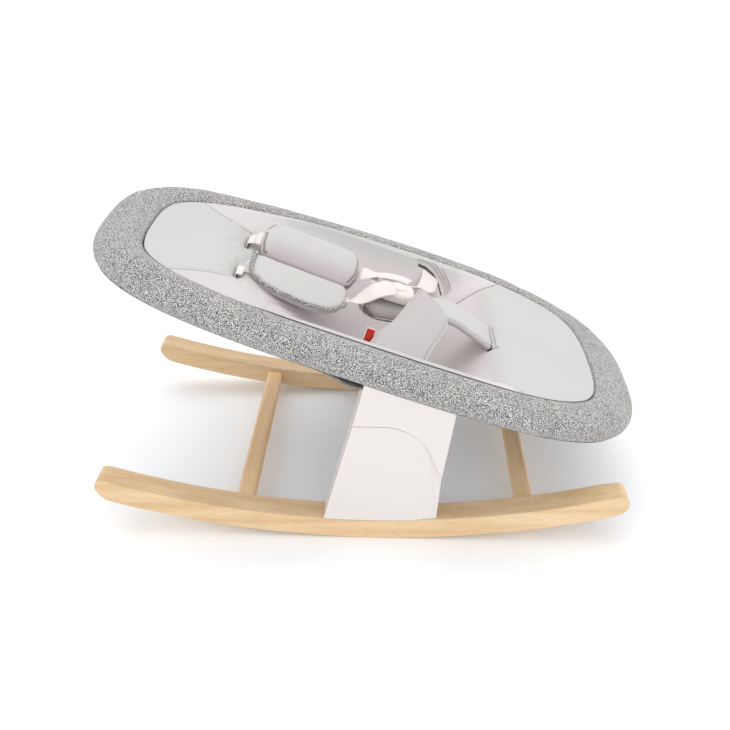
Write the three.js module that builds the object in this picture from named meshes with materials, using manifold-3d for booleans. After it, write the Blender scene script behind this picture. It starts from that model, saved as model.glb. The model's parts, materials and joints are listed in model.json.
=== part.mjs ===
// Infant bouncer seat on bent-wood rockers, in millimetres, +Z up, head end towards -X.
// The oval padded seat hangs on two side supports, and turns on a pin in each of them.
// "left" is the +Y side and "right" is the -Y side.
import * as THREE from 'three';
import { mergeVertices } from 'three/addons/utils/BufferGeometryUtils.js';
import Module from 'manifold-3d';

const wasm = await Module();
wasm.setup();

// ---------------------------------------------------------------- driving dimensions
const GAP = 0.3; // clearance between pieces that touch
const rocker = {
  radius: 1138, // of the arc that stands on the floor
  thickness: 29,
  centreY: 180, // distance of each rocker's middle from the seat's middle plane
  width: 36,
  contactX: 4.6, // where it touches the floor
  facet: THREE.MathUtils.degToRad(2.2), // the arc is made of flats this long
};
const rails = { headX: -161, footX: 202, length: 24, height: 21, corner: 5, lift: 3.2 };
const dowel = { radius: 4, inRail: 20, inRocker: 11 };
const support = {
  footLeft: [-55.5, 34],
  leftSlope: 0.2744, // how far the left edge moves along X for each millimetre up
  footRight: [87, 36],
  bendRight: [91, 94], // the right edge leans out above this point
  rightSlope: 0.145,
  wall: 3,
  seam: 0.8, // width of the open seam between the lower and the upper shells
};
const hub = {
  x: 19, z: 108, seamRadius: 62.5, drumRadius: 69, eyeRadius: 20, boreRadius: 4.3, discRadius: 16,
};
const pivot = {
  radius: 4, headRadius: 8, headLow: 171, headHigh: 176.2, nutRadius: 7.5, nutLow: 185.4, nutHigh: 190.6,
};
const supportScrewSize = {
  radius: 2.3, low: 5, headRadius: 4.6, headLow: 3.4, headHigh: 6.2, holeRadius: 2.6,
};
const seatTilt = THREE.MathUtils.degToRad(19.04);
const seatMiddle = new THREE.Vector3(7.34, 0, 255);
const ring = {
  centreU: 60, // station of the greatest width, in the seat's own plane
  headEnd: -366,
  footEnd: 367,
  halfWidth: 206,
  sideBand: 41, // width of the padded band at the sides
  endBand: 59, // and at the two ends
  rollRadius: 18, // of the padded roll around the hoop
  rollDrop: 19, // its middle below the band's inner edge
  headCrown: 9, // how much fuller the roll is at the head end
  skin: 3.4,
};
const hoop = { radius: 9, wall: 1.5 };
const bucket = { bottomU: 60, depth: 92, headReach: 285, footReach: 108, halfWidth: 152 };
const dish = 6;
const padThickness = 12;
const slingThickness = 2.5;
const webbing = 1.6;
const STATIONS = 44;

// ---------------------------------------------------------------- materials
const finish = (color, roughness, metalness = 0) => ({ color, roughness, metalness });
const finishes = {
  beech: finish(0xdcbf98, 0.55),
  shell: finish(0xf0e9e5, 0.4),
  steel: finish(0xb4b7ba, 0.35, 1),
  friction: finish(0x4a4a4c, 0.8),
  tube: finish(0x9da1a5, 0.4, 1),
  foam: finish(0xd8d6d0, 0.95),
  knit: finish(0xacaaa8, 0.95),
  zip: finish(0x55524f, 0.8),
  pad: finish(0xdcdad8, 0.9),
  strap: finish(0xeeeae6, 0.85),
  buckle: finish(0xece9e4, 0.4),
  label: finish(0xc43a2a, 0.8),
};

// ---------------------------------------------------------------- mesh helpers
function solid(geometry) {
  const bare = geometry.clone();
  bare.deleteAttribute('normal');
  bare.deleteAttribute('uv');
  const merged = mergeVertices(bare, 1e-4);
  const vertProperties = new Float32Array(merged.attributes.position.array);
  const triVerts = new Uint32Array(merged.index.array);
  return new wasm.Manifold(new wasm.Mesh({ numProp: 3, vertProperties, triVerts }));
}

function surface(body) {
  const mesh = body.getMesh();
  const geometry = new THREE.BufferGeometry();
  geometry.setAttribute('position', new THREE.BufferAttribute(mesh.vertProperties, 3));
  geometry.setIndex(new THREE.BufferAttribute(mesh.triVerts, 1));
  return geometry;
}

function cut(geometry, ...tools) {
  return surface(tools.reduce((body, tool) => body.subtract(solid(tool)), solid(geometry)));
}

function join(geometry, ...others) {
  return surface(others.reduce((body, other) => body.add(solid(other)), solid(geometry)));
}

function mirrorY(geometry) {
  const flipped = geometry.clone().scale(1, -1, 1);
  const index = flipped.index ?? mergeVertices(flipped).index;
  const turned = flipped.index ? flipped : mergeVertices(flipped);
  for (let i = 0; i < index.count; i += 3) {
    const first = index.getX(i);
    turned.index.setX(i, index.getX(i + 1));
    turned.index.setX(i + 1, first);
  }
  return turned;
}

// An outline in the X-Z plane, made solid between two Y values.
function slab(shape, lowY, highY, curveSegments = 12) {
  const settings = { depth: highY - lowY, bevelEnabled: false, curveSegments };
  const geometry = new THREE.ExtrudeGeometry(shape, settings);
  return geometry.rotateX(Math.PI / 2).translate(0, highY, 0);
}

function outline(points) {
  return new THREE.Shape(points.map(([x, z]) => new THREE.Vector2(x, z)));
}

function block(x, y, z, lowX, lowY, lowZ) {
  return new THREE.BoxGeometry(x, y, z).translate(lowX + x / 2, lowY + y / 2, lowZ + z / 2);
}

function pinY(radius, lowY, highY, x, z, sides = 20) {
  const pin = new THREE.CylinderGeometry(radius, radius, highY - lowY, sides);
  return pin.translate(x, (lowY + highY) / 2, z);
}

function pinZ(radius, lowZ, highZ, x, y, sides = 16) {
  const pin = new THREE.CylinderGeometry(radius, radius, highZ - lowZ, sides);
  return pin.rotateX(Math.PI / 2).translate(x, y, (lowZ + highZ) / 2);
}

// Triangles for a grid of points; it closes on itself along the columns.
function gridFaces(rows, columns, start, flip) {
  const faces = [];
  for (let row = 0; row + 1 < rows; row += 1) {
    for (let column = 0; column < columns; column += 1) {
      const next = (column + 1) % columns;
      const a = start + row * columns + column;
      const b = start + row * columns + next;
      const c = a + columns;
      const d = b + columns;
      faces.push(...(flip ? [a, c, b, b, c, d] : [a, b, c, b, d, c]));
    }
  }
  return faces;
}

// Six times the signed volume inside the faces: negative when they point inwards.
function signedVolume(points, faces) {
  let total = 0;
  for (let i = 0; i < faces.length; i += 3) {
    const [a, b, c] = [0, 1, 2].map((k) => new THREE.Vector3(...points[faces[i + k]]));
    total += a.dot(b.cross(c));
  }
  return total;
}

function closedMesh(points, faces) {
  const outward = signedVolume(points, faces) > 0 ? faces : [...faces].reverse();
  const geometry = new THREE.BufferGeometry();
  geometry.setAttribute('position', new THREE.Float32BufferAttribute(points.flat(), 3));
  geometry.setIndex(outward);
  return geometry;
}

// ---------------------------------------------------------------- the group and its bodies
const model = new THREE.Group();
const seat = new THREE.Group();
seat.position.copy(seatMiddle);
seat.rotation.y = seatTilt;
seat.updateMatrix();
model.add(seat);

function add(name, geometry, material, parent = model) {
  const mesh = new THREE.Mesh(geometry, new THREE.MeshStandardMaterial(finishes[material]));
  mesh.name = name;
  parent.add(mesh);
}

function addPair(name, geometry, material, parent = model) {
  add(`left_${name}`, geometry, material, parent);
  add(`right_${name}`, mirrorY(geometry), material, parent);
}

// Turns a solid of the seat's own frame into the row frame.
const inSeat = (geometry) => geometry.clone().applyMatrix4(seat.matrix);

// ---------------------------------------------------------------- rockers and cross rails
const arcMiddleZ = rocker.radius * Math.cos(rocker.facet / 2);

function arcPoint(radius, angle) {
  return [rocker.contactX + radius * Math.sin(angle), arcMiddleZ - radius * Math.cos(angle)];
}

function makeRocker() {
  const innerRadius = rocker.radius - rocker.thickness;
  const steps = [];
  for (let step = -7.5; step <= 6.5; step += 1) steps.push(step * rocker.facet);
  const bottom = steps.map((angle) => arcPoint(rocker.radius, angle));
  const top = steps.map((angle) => arcPoint(innerRadius, angle)).reverse();
  const footNose = [[305, 42], [315, 47], [321, 55], [322, 63], [316, 70.4], [303, 71.1]];
  const headNose = [[-330, 79.8], [-341, 80], [-347, 74], [-348.5, 66], [-344, 57], [-334, 50.3]];
  const shift = ([x, z]) => [x + rocker.contactX, z];
  return slab(
    outline([...bottom, ...footNose.map(shift), ...top, ...headNose.map(shift)]),
    rocker.centreY - rocker.width / 2,
    rocker.centreY + rocker.width / 2,
  );
}

function makeRail(x) {
  const { length, height, corner } = rails;
  const [halfX, halfZ] = [length / 2, height / 2];
  const shape = new THREE.Shape();
  shape.absarc(halfX - corner, halfZ - corner, corner, 0, Math.PI / 2);
  shape.absarc(corner - halfX, halfZ - corner, corner, Math.PI / 2, Math.PI);
  shape.absarc(corner - halfX, corner - halfZ, corner, Math.PI, 1.5 * Math.PI);
  shape.absarc(halfX - corner, corner - halfZ, corner, 1.5 * Math.PI, 2 * Math.PI);
  const reach = rocker.centreY - rocker.width / 2 - GAP;
  const angle = Math.asin((x - rocker.contactX) / rocker.radius);
  const centre = railCentre(x);
  const rail = slab(shape, -reach, reach, 4).rotateY(-angle).translate(centre.x, 0, centre.z);
  const bores = [-1, 1].map((side) => {
    const ends = [side * (reach - dowel.inRail - 1), side * (reach + 1)].sort((a, b) => a - b);
    return pinY(dowel.radius + GAP, ends[0], ends[1], centre.x, centre.z);
  });
  return cut(rail, ...bores);
}

function railCentre(x) {
  const angle = Math.asin((x - rocker.contactX) / rocker.radius);
  const [, z] = arcPoint(rocker.radius - rails.lift - rails.height / 2, angle);
  return { x, z };
}

const rockerInner = rocker.centreY - rocker.width / 2;
const rockerOuter = rocker.centreY + rocker.width / 2;
const screwStations = [-16, 52];
const screwTop = 44;

const dowelBores = [rails.headX, rails.footX].map((x) => {
  const { z } = railCentre(x);
  return pinY(dowel.radius + GAP, rockerInner - 1, rockerInner + dowel.inRocker + 1, x, z);
});
const screwBores = screwStations.flatMap((x) => [
  pinZ(2.9, -1, 60, x, rocker.centreY),
  pinZ(5.6, -1, 8, x, rocker.centreY),
]);
addPair('rocker', cut(makeRocker(), ...dowelBores, ...screwBores), 'beech');
add('head_cross_rail', makeRail(rails.headX), 'beech');
add('foot_cross_rail', makeRail(rails.footX), 'beech');
for (const [end, x] of [['head', rails.headX], ['foot', rails.footX]]) {
  const { z } = railCentre(x);
  const pin = pinY(dowel.radius, rockerInner - dowel.inRail, rockerInner + dowel.inRocker, x, z);
  addPair(`${end}_dowel`, pin, 'beech');
}

// ---------------------------------------------------------------- ring outline and seat surface
function ringPoint(angle) {
  const towardsFoot = Math.cos(angle) > 0;
  const power = towardsFoot ? 2.75 : 3;
  const reach = towardsFoot ? ring.footEnd - ring.centreU : ring.centreU - ring.headEnd;
  const taper = towardsFoot ? 0 : 0.05;
  const along = Math.abs(Math.cos(angle)) ** (2 / power);
  const across = Math.abs(Math.sin(angle)) ** (2 / power) * (1 - taper * along);
  return new THREE.Vector3(
    ring.centreU + Math.sign(Math.cos(angle)) * along * reach,
    Math.sign(Math.sin(angle)) * across * ring.halfWidth,
    0,
  );
}

// Evenly spaced stations around the ring, each with its outward direction and band width.
function ringStations(count) {
  const dense = [];
  for (let k = 0; k < 720; k += 1) dense.push(ringPoint((k / 720) * 2 * Math.PI));
  const curve = new THREE.CatmullRomCurve3(dense, true);
  curve.arcLengthDivisions = 1440;
  return Array.from({ length: count }, (_, k) => {
    const edge = curve.getPointAt(k / count);
    const behind = curve.getPointAt(((k - 0.3 + count) / count) % 1);
    const tangent = curve.getPointAt(((k + 0.3) / count) % 1).sub(behind);
    const out = new THREE.Vector2(tangent.y, -tangent.x).normalize();
    const band = ring.sideBand + (ring.endBand - ring.sideBand) * out.x ** 2;
    return { edge, out, band };
  });
}

const edgeHeight = (u) => 5 - 8 * ((u - 75) / 330) ** 2;

function stationPoint(station, inward, height) {
  const u = station.edge.x - station.out.x * inward;
  return [u, station.edge.y - station.out.y * inward, edgeHeight(u) + height];
}

// A closed section carried around the ring; sectionAt gives a station's [inward, height] points.
function ringSolid(sectionAt, count = STATIONS) {
  const stations = ringStations(count);
  const sections = stations.map(sectionAt);
  const size = sections[0].length;
  const points = stations.flatMap((station, k) => sections[k].map(([p, h]) => stationPoint(station, p, h)));
  const faces = gridFaces(count + 1, size, 0, false).map((index) => index % (count * size));
  return closedMesh(points, faces);
}

function arcSection(radius, startDegrees, endDegrees, steps) {
  return Array.from({ length: steps + 1 }, (_, k) => {
    const angle = THREE.MathUtils.degToRad(startDegrees + ((endDegrees - startDegrees) * k) / steps);
    return [ring.rollRadius - radius * Math.cos(angle), -ring.rollDrop + radius * Math.sin(angle)];
  });
}

function innerHalfWidth(u) {
  const towardsFoot = u > ring.centreU;
  const reach = towardsFoot ? 247 : 367;
  const power = towardsFoot ? 3 : 4;
  const along = Math.min(Math.abs(u - ring.centreU) / reach, 0.999);
  return 166 * (1 - (towardsFoot ? 0 : 0.1) * along) * (1 - along ** power) ** (1 / power);
}

function bucketDepth(u) {
  const offset = u - bucket.bottomU;
  if (offset < -bucket.headReach || offset > bucket.footReach) return 0;
  if (offset < 0) return bucket.depth * Math.cos((Math.PI / 2) * (offset / bucket.headReach)) ** 2;
  return bucket.depth * (1 - (offset / bucket.footReach) ** 2.2);
}

// Depth of the seat pad's surface below the plane of the ring's inner edge.
function padDepth(u, y) {
  const side = Math.min(Math.abs(y) / innerHalfWidth(u), 1);
  const wall = Math.min(Math.abs(y) / bucket.halfWidth, 1);
  return 1 + dish * (1 - side ** 3) + bucketDepth(u) * (1 - wall ** 3);
}

const slingRim = 34.2;

function slingDepth(u, y) {
  const wall = Math.min(Math.abs(y) / (bucket.halfWidth + 6), 1);
  const stretched = bucket.bottomU + (u - bucket.bottomU) * 0.88;
  return slingRim + Math.max(0, (bucketDepth(stretched) + dish) * (1 - wall ** 3) - 16);
}

// A shell between a boundary around the ring and a middle point, with the given depth and thickness.
// Each row of its mesh lies at one of the given shares of the way out to the boundary.
function bowl(inwardAt, depthAt, thickness, shares) {
  const stations = ringStations(STATIONS);
  const rings = shares.length;
  const sheet = (drop) => {
    const rows = [];
    for (const reach of shares) {
      for (const station of stations) {
        const [rimU, rimY] = stationPoint(station, inwardAt(station.band), 0);
        const u = ring.centreU + (rimU - ring.centreU) * reach;
        const y = rimY * reach;
        rows.push([u, y, edgeHeight(u) - depthAt(u, y) - drop]);
      }
    }
    return rows;
  };
  const top = sheet(0);
  const bottom = sheet(thickness);
  const count = top.length;
  const middle = [ring.centreU, 0, edgeHeight(ring.centreU) - depthAt(ring.centreU, 0)];
  const points = [...top, ...bottom, middle, [middle[0], 0, middle[2] - thickness]];
  const faces = [...gridFaces(rings, STATIONS, 0, true), ...gridFaces(rings, STATIONS, count, false)];
  for (let k = 0; k < STATIONS; k += 1) {
    const next = (k + 1) % STATIONS;
    const rim = count - STATIONS;
    faces.push(2 * count, k, next, 2 * count + 1, count + next, count + k);
    faces.push(rim + k, count + rim + k, rim + next, rim + next, count + rim + k, count + rim + next);
  }
  return closedMesh(points, faces);
}

// ---------------------------------------------------------------- hoop, padding and covers
const hubInSeat = new THREE.Vector3(hub.x, 0, hub.z).applyMatrix4(seat.matrix.clone().invert());
const armU = hubInSeat.x;
const hoopY = ring.halfWidth - ring.rollRadius;
const hoopUnderside = edgeHeight(armU) - ring.rollDrop - hoop.radius;
const flange = { halfLength: 34, halfWidth: 7.5, thickness: 3 };
const hoopScrewStations = [armU - 24, armU + 24];
const hoopScrew = { radius: 2, headRadius: 4, headHeight: 2.2, reach: 6 };

function bothSides(...geometries) {
  return geometries.flatMap((geometry) => [geometry, mirrorY(geometry)]);
}

const fullCircle = (radius, sides) => arcSection(radius, 0, 360, sides).slice(0, -1);
const hoopScrewBores = hoopScrewStations.map((u) =>
  pinZ(hoopScrew.radius + GAP, hoopUnderside - 4, hoopUnderside + hoop.radius, u, hoopY));
const hoopOuter = ringSolid(() => fullCircle(hoop.radius, 9));
const hoopBore = ringSolid(() => fullCircle(hoop.radius - hoop.wall, 9));
add('hoop_tube', cut(hoopOuter, hoopBore, ...bothSides(...hoopScrewBores)), 'tube', seat);

const foamSection = [...arcSection(13.9, -150, 150, 7), ...arcSection(hoop.radius + 1.2, 150, -150, 7)];
const foamCut = flange.halfLength + 3;
const bracketRoom = block(2 * foamCut, 24, 24, armU - foamCut, hoopY - 12, hoopUnderside - 20);
add('hoop_foam_sleeve', cut(ringSolid(() => foamSection), ...bothSides(bracketRoom)), 'foam', seat);

// The cover's section, raised over the roll towards the head end.
function coverSection({ band, edge }) {
  const { skin, rollRadius, rollDrop } = ring;
  const crown = ring.headCrown * THREE.MathUtils.smoothstep(-edge.x, 100, 340);
  const outerEdge = [[30, 0.4], [band - 5, 0.8], [band - 1, -0.6], [band, -7]];
  const innerEdge = [[band - skin, -7], [band - skin - 0.6, -3.2], [band - 7, -2.6], [29, -3]];
  const outside = [...arcSection(rollRadius, -50, 90, 6), ...outerEdge];
  const inside = [...innerEdge, ...arcSection(rollRadius - skin, 90, -50, 5)];
  return [...outside, ...inside].map(([inward, height]) => {
    const nearRoll = 1 - Math.abs(inward - rollRadius) / (band - rollRadius);
    const aboveRoll = THREE.MathUtils.clamp((height + rollDrop) / rollRadius, 0, 1);
    return [inward, height + crown * Math.max(nearRoll, 0) * aboveRoll];
  });
}
add('ring_cover', ringSolid(coverSection), 'knit', seat);
const zipSection = [...arcSection(ring.rollRadius + 0.2, -52, -62, 1), ...arcSection(14.8, -62, -52, 1)];
add('cover_zip', ringSolid(() => zipSection), 'zip', seat);

const slingCut = flange.halfLength + 2;
const armRoom = block(2 * slingCut, 30, 40, armU - slingCut, hoopY - 9, hoopUnderside - 30);
const sling = bowl(() => 11.8, slingDepth, slingThickness, [0.2, 0.38, 0.54, 0.68, 0.8, 0.9, 1]);
add('under_cover', cut(sling, ...bothSides(armRoom)), 'knit', seat);

// Slots in the pad: the middle of each, and its size along and across the seat.
const slots = {
  shoulder: { u: -184, y: 50, along: 5, across: 30 },
  crotch: { u: 165, y: 0, along: 6, across: 64 },
  waist: { u: 90, y: 146.5, along: 58, across: 5 },
};

function slotCutter({ u, y, along, across }) {
  const low = -100;
  return block(along, across, 20 - low, u - along / 2, y - across / 2, low);
}

const slotCutters = [
  ...bothSides(slotCutter(slots.shoulder), slotCutter(slots.waist)),
  slotCutter(slots.crotch),
];
const padBody = bowl((band) => band + 1.2, padDepth, padThickness, [0.2, 0.38, 0.54, 0.68, 0.8, 0.92, 1]);
add('seat_pad', cut(padBody, ...slotCutters), 'pad', seat);

// ---------------------------------------------------------------- side supports
// Where a support's left or right edge is at a height, moved in by a wall thickness.
function edgeX(side, z, inset) {
  const [footX, footZ] = support.footLeft;
  if (side === 'left') {
    const slope = support.leftSlope;
    return footX + (z - footZ) * slope + inset * Math.hypot(1, slope);
  }
  const [bendX, bendZ] = support.bendRight;
  const lowSlope = (bendX - support.footRight[0]) / (bendZ - support.footRight[1]);
  const slope = z > bendZ ? support.rightSlope : lowSlope;
  return bendX + (z - bendZ) * slope - inset * Math.hypot(1, slope);
}

// The parting seam between the lower and the upper shells: level, then around the hub, then down.
const seamZ = hub.z + hub.seamRadius;
const [seamEndX, seamEndZ] = support.bendRight;
const seamReach = Math.hypot(seamEndX - hub.x, seamEndZ - hub.z);
const seamTurn = Math.atan2(seamEndZ - hub.z, seamEndX - hub.x) + Math.acos(hub.seamRadius / seamReach);

function seamPoints(shift) {
  const radius = hub.seamRadius + shift;
  const points = [];
  for (let k = 0; k <= 8; k += 1) {
    const angle = Math.PI / 2 + ((seamTurn - Math.PI / 2) * k) / 8;
    points.push([hub.x + radius * Math.cos(angle), hub.z + radius * Math.sin(angle)]);
  }
  return points;
}

function supportFoot(inset) {
  const left = edgeX('left', support.footLeft[1], inset);
  const right = edgeX('right', support.footRight[1], inset);
  const radius = rocker.radius - rocker.thickness - GAP - 0.2 - inset;
  return Array.from({ length: 6 }, (_, k) => {
    const x = left + ((right - left) * k) / 5;
    return arcPoint(radius, Math.asin((x - rocker.contactX) / radius));
  });
}

function lowerOutline(inset) {
  const seam = seamPoints(-support.seam / 2).reverse();
  const end = [edgeX('right', seamEndZ, inset), seamEndZ - support.seam];
  const start = [edgeX('left', seamZ, inset), seamZ - support.seam / 2];
  return outline([...supportFoot(inset), end, ...seam, start]);
}

// The level of the middle of the padded roll above the support, where the upper shell ends.
function rollLevel(x) {
  const height = (edgeHeight(armU) - ring.rollDrop) / Math.cos(seatTilt);
  return seatMiddle.z + height - (x - seatMiddle.x) * Math.tan(seatTilt);
}

function upperOutline() {
  const [leftTop, rightTop] = [['left', 236], ['right', 205]].map(([side, z]) => edgeX(side, z, 0));
  return outline([
    [edgeX('left', seamZ, 0), seamZ + support.seam / 2],
    ...seamPoints(support.seam / 2),
    [edgeX('right', seamEndZ, 0), seamEndZ + support.seam],
    [rightTop, rollLevel(rightTop)],
    [leftTop, rollLevel(leftTop)],
  ]);
}

const face = rockerOuter; // outer face of both shells
const faceBack = face - support.wall;
const middle = rocker.centreY + GAP / 2;
const sweep = THREE.MathUtils.degToRad(16);

function aroundHub(radius, angle) {
  return [hub.x + radius * Math.cos(angle), hub.z + radius * Math.sin(angle)];
}

function sector(radius, low, high, steps) {
  const rim = [];
  for (let k = 0; k <= steps; k += 1) rim.push(aroundHub(radius, low + ((high - low) * k) / steps));
  return rim;
}

// Lower shell: a tray open towards the middle and towards the seat. A drum behind the upper
// shell closes the gap that opens when the seat turns. The tray's face steps in to a backing
// plate where the upper shell's edge sweeps past.
function makeLowerShell() {
  const tray = cut(
    slab(lowerOutline(0), middle, face),
    slab(lowerOutline(support.wall), middle - 1, faceBack),
    slab(outline([[-12, 128], [70, 128], [80, 96], [84, 96], [84, 200], [-12, 200]]), middle - 1, faceBack),
  );
  const drumOutline = outline([...sector(hub.drumRadius, -0.19, 2.02, 14), [hub.x, 80]]);
  const drum = slab(drumOutline, faceBack - 3.2, faceBack - GAP);
  const rightEdge = (z) => [edgeX('right', z, 1), z];
  const backingOutline = outline([[40, 37], rightEdge(37), rightEdge(93.5), [88, 97], [60, 97]]);
  const backing = slab(backingOutline, faceBack - 3.2, faceBack - GAP);
  const drumWall = slab(
    outline([...sector(hub.drumRadius, -0.17, 0.45, 5), ...sector(hub.drumRadius - 3, 0.45, -0.17, 5)]),
    middle,
    faceBack - 1,
  );
  const endTurn = Math.atan2(seamEndZ - hub.z, seamEndX - hub.x);
  const step = slab(
    outline([
      ...sector(hub.seamRadius - GAP, seamTurn + 0.02, seamTurn - sweep, 4),
      aroundHub(seamReach + 1, endTurn - sweep - 0.02),
      [100, 74],
      [100, 131],
    ]),
    faceBack - GAP,
    face + 1,
  );
  const ramp = rampCutter(endTurn);
  const screwRoom = screwStations.map((x) => pinZ(3.2, 20, 50, x, rocker.centreY));
  return cut(join(cut(tray, step, ramp), drum, backing, drumWall), ...screwRoom);
}

// A shallow wedge that leads the lower shell's face down to the step, so no second line shows,
// and keeps the strip along the right edge at the step's depth down to the foot.
function rampCutter(endTurn) {
  const [topX, topZ] = aroundHub(hub.seamRadius - GAP, seamTurn - sweep);
  const [footX, footZ] = aroundHub(seamReach + 1, endTurn - sweep - 0.02);
  const lean = Math.atan2(footX - topX, topZ - footZ);
  const length = 34; // of the slope
  const reach = 22; // beyond the slope, to past the right edge
  const profile = new THREE.Shape([
    new THREE.Vector2(reach, support.wall + GAP),
    new THREE.Vector2(reach, -1),
    new THREE.Vector2(-length, -1),
    new THREE.Vector2(-length, 0),
    new THREE.Vector2(0, support.wall + GAP),
  ]);
  const wedge = new THREE.ExtrudeGeometry(profile, { depth: 160, bevelEnabled: false });
  wedge.applyMatrix4(new THREE.Matrix4().set(1, 0, 0, 0, 0, -1, 0, face, 0, 0, -1, 80, 0, 0, 0, 1));
  return wedge.rotateY(-lean).translate((topX + footX) / 2, 0, (topZ + footZ) / 2);
}

const rollEnvelope = inSeat(ringSolid(() => fullCircle(ring.rollRadius + 0.6, 20)));
const slingUnderside = edgeHeight(armU) - slingRim - slingThickness;
const underRing = inSeat(block(300, 94.6, 60, armU - 150, 100, slingUnderside - 2 * GAP));

// The inboard half of each shell is the outboard half turned over about the rocker's middle.
function overMiddle(geometry) {
  return mirrorY(geometry).translate(0, 2 * rocker.centreY, 0);
}

// Upper shell: fixed to the seat's arm, open towards the hub, its top shaped to the padded ring.
// The placing turns the outboard half into the half that is wanted.
function makeUpperShell(place) {
  const pocketTop = 260;
  const room = outline([
    [edgeX('left', 160, support.wall), 160],
    [60, 120],
    [edgeX('right', 60, -5), 60],
    [edgeX('right', 116, -5), 116],
    [edgeX('right', 116, support.wall), 116],
    [edgeX('right', pocketTop, support.wall), pocketTop],
    [edgeX('left', pocketTop, support.wall), pocketTop],
  ]);
  const shell = cut(slab(upperOutline(), middle, face), slab(room, middle - 1, faceBack));
  return cut(place(shell), rollEnvelope, underRing);
}

const lowerShell = makeLowerShell();
addPair('lower_shell_outer', lowerShell, 'shell');
addPair('lower_shell_inner', overMiddle(lowerShell), 'shell');
addPair('upper_shell_outer', makeUpperShell((shell) => shell), 'shell');
addPair('upper_shell_inner', makeUpperShell(overMiddle), 'shell');

// ---------------------------------------------------------------- hub: plates, pin, discs, screws
const plate = { fixedLow: 176.5, fixedHigh: 179.5, discHigh: 181.8, armLow: 182.1, armHigh: 185.1 };
const footPlateZ = 36.5;

// Hinge plate: an eye at the hub on a triangle that stands on a foot screwed to the rocker.
const plateFoot = { left: -26, right: 62, depth: 15, thickness: 4 };
const plateOutline = outline([
  [plateFoot.right, footPlateZ],
  ...sector(hub.eyeRadius, -0.2, Math.PI + 0.2, 14),
  [plateFoot.left, footPlateZ],
]);

const screwHoles = screwStations.map((x) => pinZ(supportScrewSize.holeRadius, 20, 60, x, rocker.centreY));
const pivotBore = pinY(hub.boreRadius, 165, 195, hub.x, hub.z);
const hingePlate = cut(
  join(
    slab(plateOutline, plate.fixedLow, plate.fixedHigh),
    block(
      plateFoot.right - plateFoot.left,
      plateFoot.depth,
      plateFoot.thickness,
      plateFoot.left,
      rocker.centreY - plateFoot.depth / 2,
      footPlateZ,
    ),
  ),
  pivotBore,
  ...screwHoles,
);
addPair('hinge_plate', hingePlate, 'steel');

const supportScrew = join(
  pinZ(supportScrewSize.radius, supportScrewSize.low, screwTop, 0, 0),
  pinZ(supportScrewSize.headRadius, supportScrewSize.headLow, supportScrewSize.headHigh, 0, 0),
);
screwStations.forEach((x, k) => {
  const screw = supportScrew.clone().translate(x, rocker.centreY, 0);
  addPair(`support_screw_${k === 0 ? 'head' : 'foot'}_side`, screw, 'steel');
});

const disc = pinY(hub.discRadius, plate.fixedHigh + GAP, plate.discHigh, hub.x, hub.z);
addPair('friction_disc', cut(disc, pivotBore), 'friction');
addPair('pivot_bolt', join(
  pinY(pivot.radius, pivot.headLow, pivot.nutHigh - 0.2, hub.x, hub.z),
  pinY(pivot.headRadius, pivot.headLow, pivot.headHigh, hub.x, hub.z),
), 'steel');
const nut = pinY(pivot.nutRadius, pivot.nutLow, pivot.nutHigh, hub.x, hub.z, 6);
addPair('pivot_nut', cut(nut, pivotBore), 'steel');

// Arm: an eye around the pivot pin, a leg up into the seat, and a flange under the hoop.
function makeArm() {
  const flangeTop = hoopUnderside - GAP;
  const flangeLow = flangeTop - flange.thickness;
  const legHalfWidth = 18;
  const eye = [];
  for (let k = 1; k <= 11; k += 1) {
    const angle = Math.PI + (Math.PI * k) / 12;
    eye.push([armU + hub.eyeRadius * Math.cos(angle), hubInSeat.z + hub.eyeRadius * Math.sin(angle)]);
  }
  const leg = outline([[armU - legHalfWidth, flangeLow + 1], ...eye, [armU + legHalfWidth, flangeLow + 1]]);
  const top = block(
    2 * flange.halfLength,
    2 * flange.halfWidth,
    flange.thickness,
    armU - flange.halfLength,
    hoopY - flange.halfWidth,
    flangeLow,
  );
  const screwRoom = hoopScrewStations.map((u) =>
    pinZ(hoopScrew.radius + GAP, flangeLow - 8, flangeTop + 2, u, hoopY));
  const bore = pinY(hub.boreRadius, 170, 195, armU, hubInSeat.z);
  return cut(join(slab(leg, plate.armLow, plate.armHigh), top), bore, ...screwRoom);
}
addPair('seat_arm', makeArm(), 'steel', seat);

const hoopScrewLow = hoopUnderside - GAP - flange.thickness - 0.1;
const hoopScrewBody = join(
  pinZ(hoopScrew.radius, hoopScrewLow - hoopScrew.headHeight, hoopUnderside + hoopScrew.reach, 0, 0, 12),
  pinZ(hoopScrew.headRadius, hoopScrewLow - hoopScrew.headHeight, hoopScrewLow, 0, 0, 12),
);
hoopScrewStations.forEach((u, k) => {
  const screw = hoopScrewBody.clone().translate(u, hoopY, 0);
  addPair(`hoop_screw_${k === 0 ? 'head' : 'foot'}_side`, screw, 'steel', seat);
});

// ---------------------------------------------------------------- harness
// A flat strip through stations of {at, across, half}: middle, sideways direction and half width.
function ribbon(stations, thickness) {
  const middles = stations.map(({ at }) => new THREE.Vector3(...at));
  const points = [];
  stations.forEach((station, k) => {
    const ahead = middles[Math.min(k + 1, middles.length - 1)];
    const behind = middles[Math.max(k - 1, 0)];
    const along = ahead.clone().sub(behind).normalize();
    const across = new THREE.Vector3(...station.across).normalize();
    const up = along.clone().cross(across).normalize();
    for (const [side, level] of [[-1, -1], [1, -1], [1, 1], [-1, 1]]) {
      const corner = middles[k].clone().addScaledVector(across, side * station.half);
      points.push(corner.addScaledVector(up, (level * thickness) / 2).toArray());
    }
  });
  const last = points.length - 4;
  const faces = gridFaces(stations.length, 4, 0, false);
  faces.push(0, 2, 1, 0, 3, 2, last, last + 1, last + 2, last, last + 2, last + 3);
  return closedMesh(points, faces);
}

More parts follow.
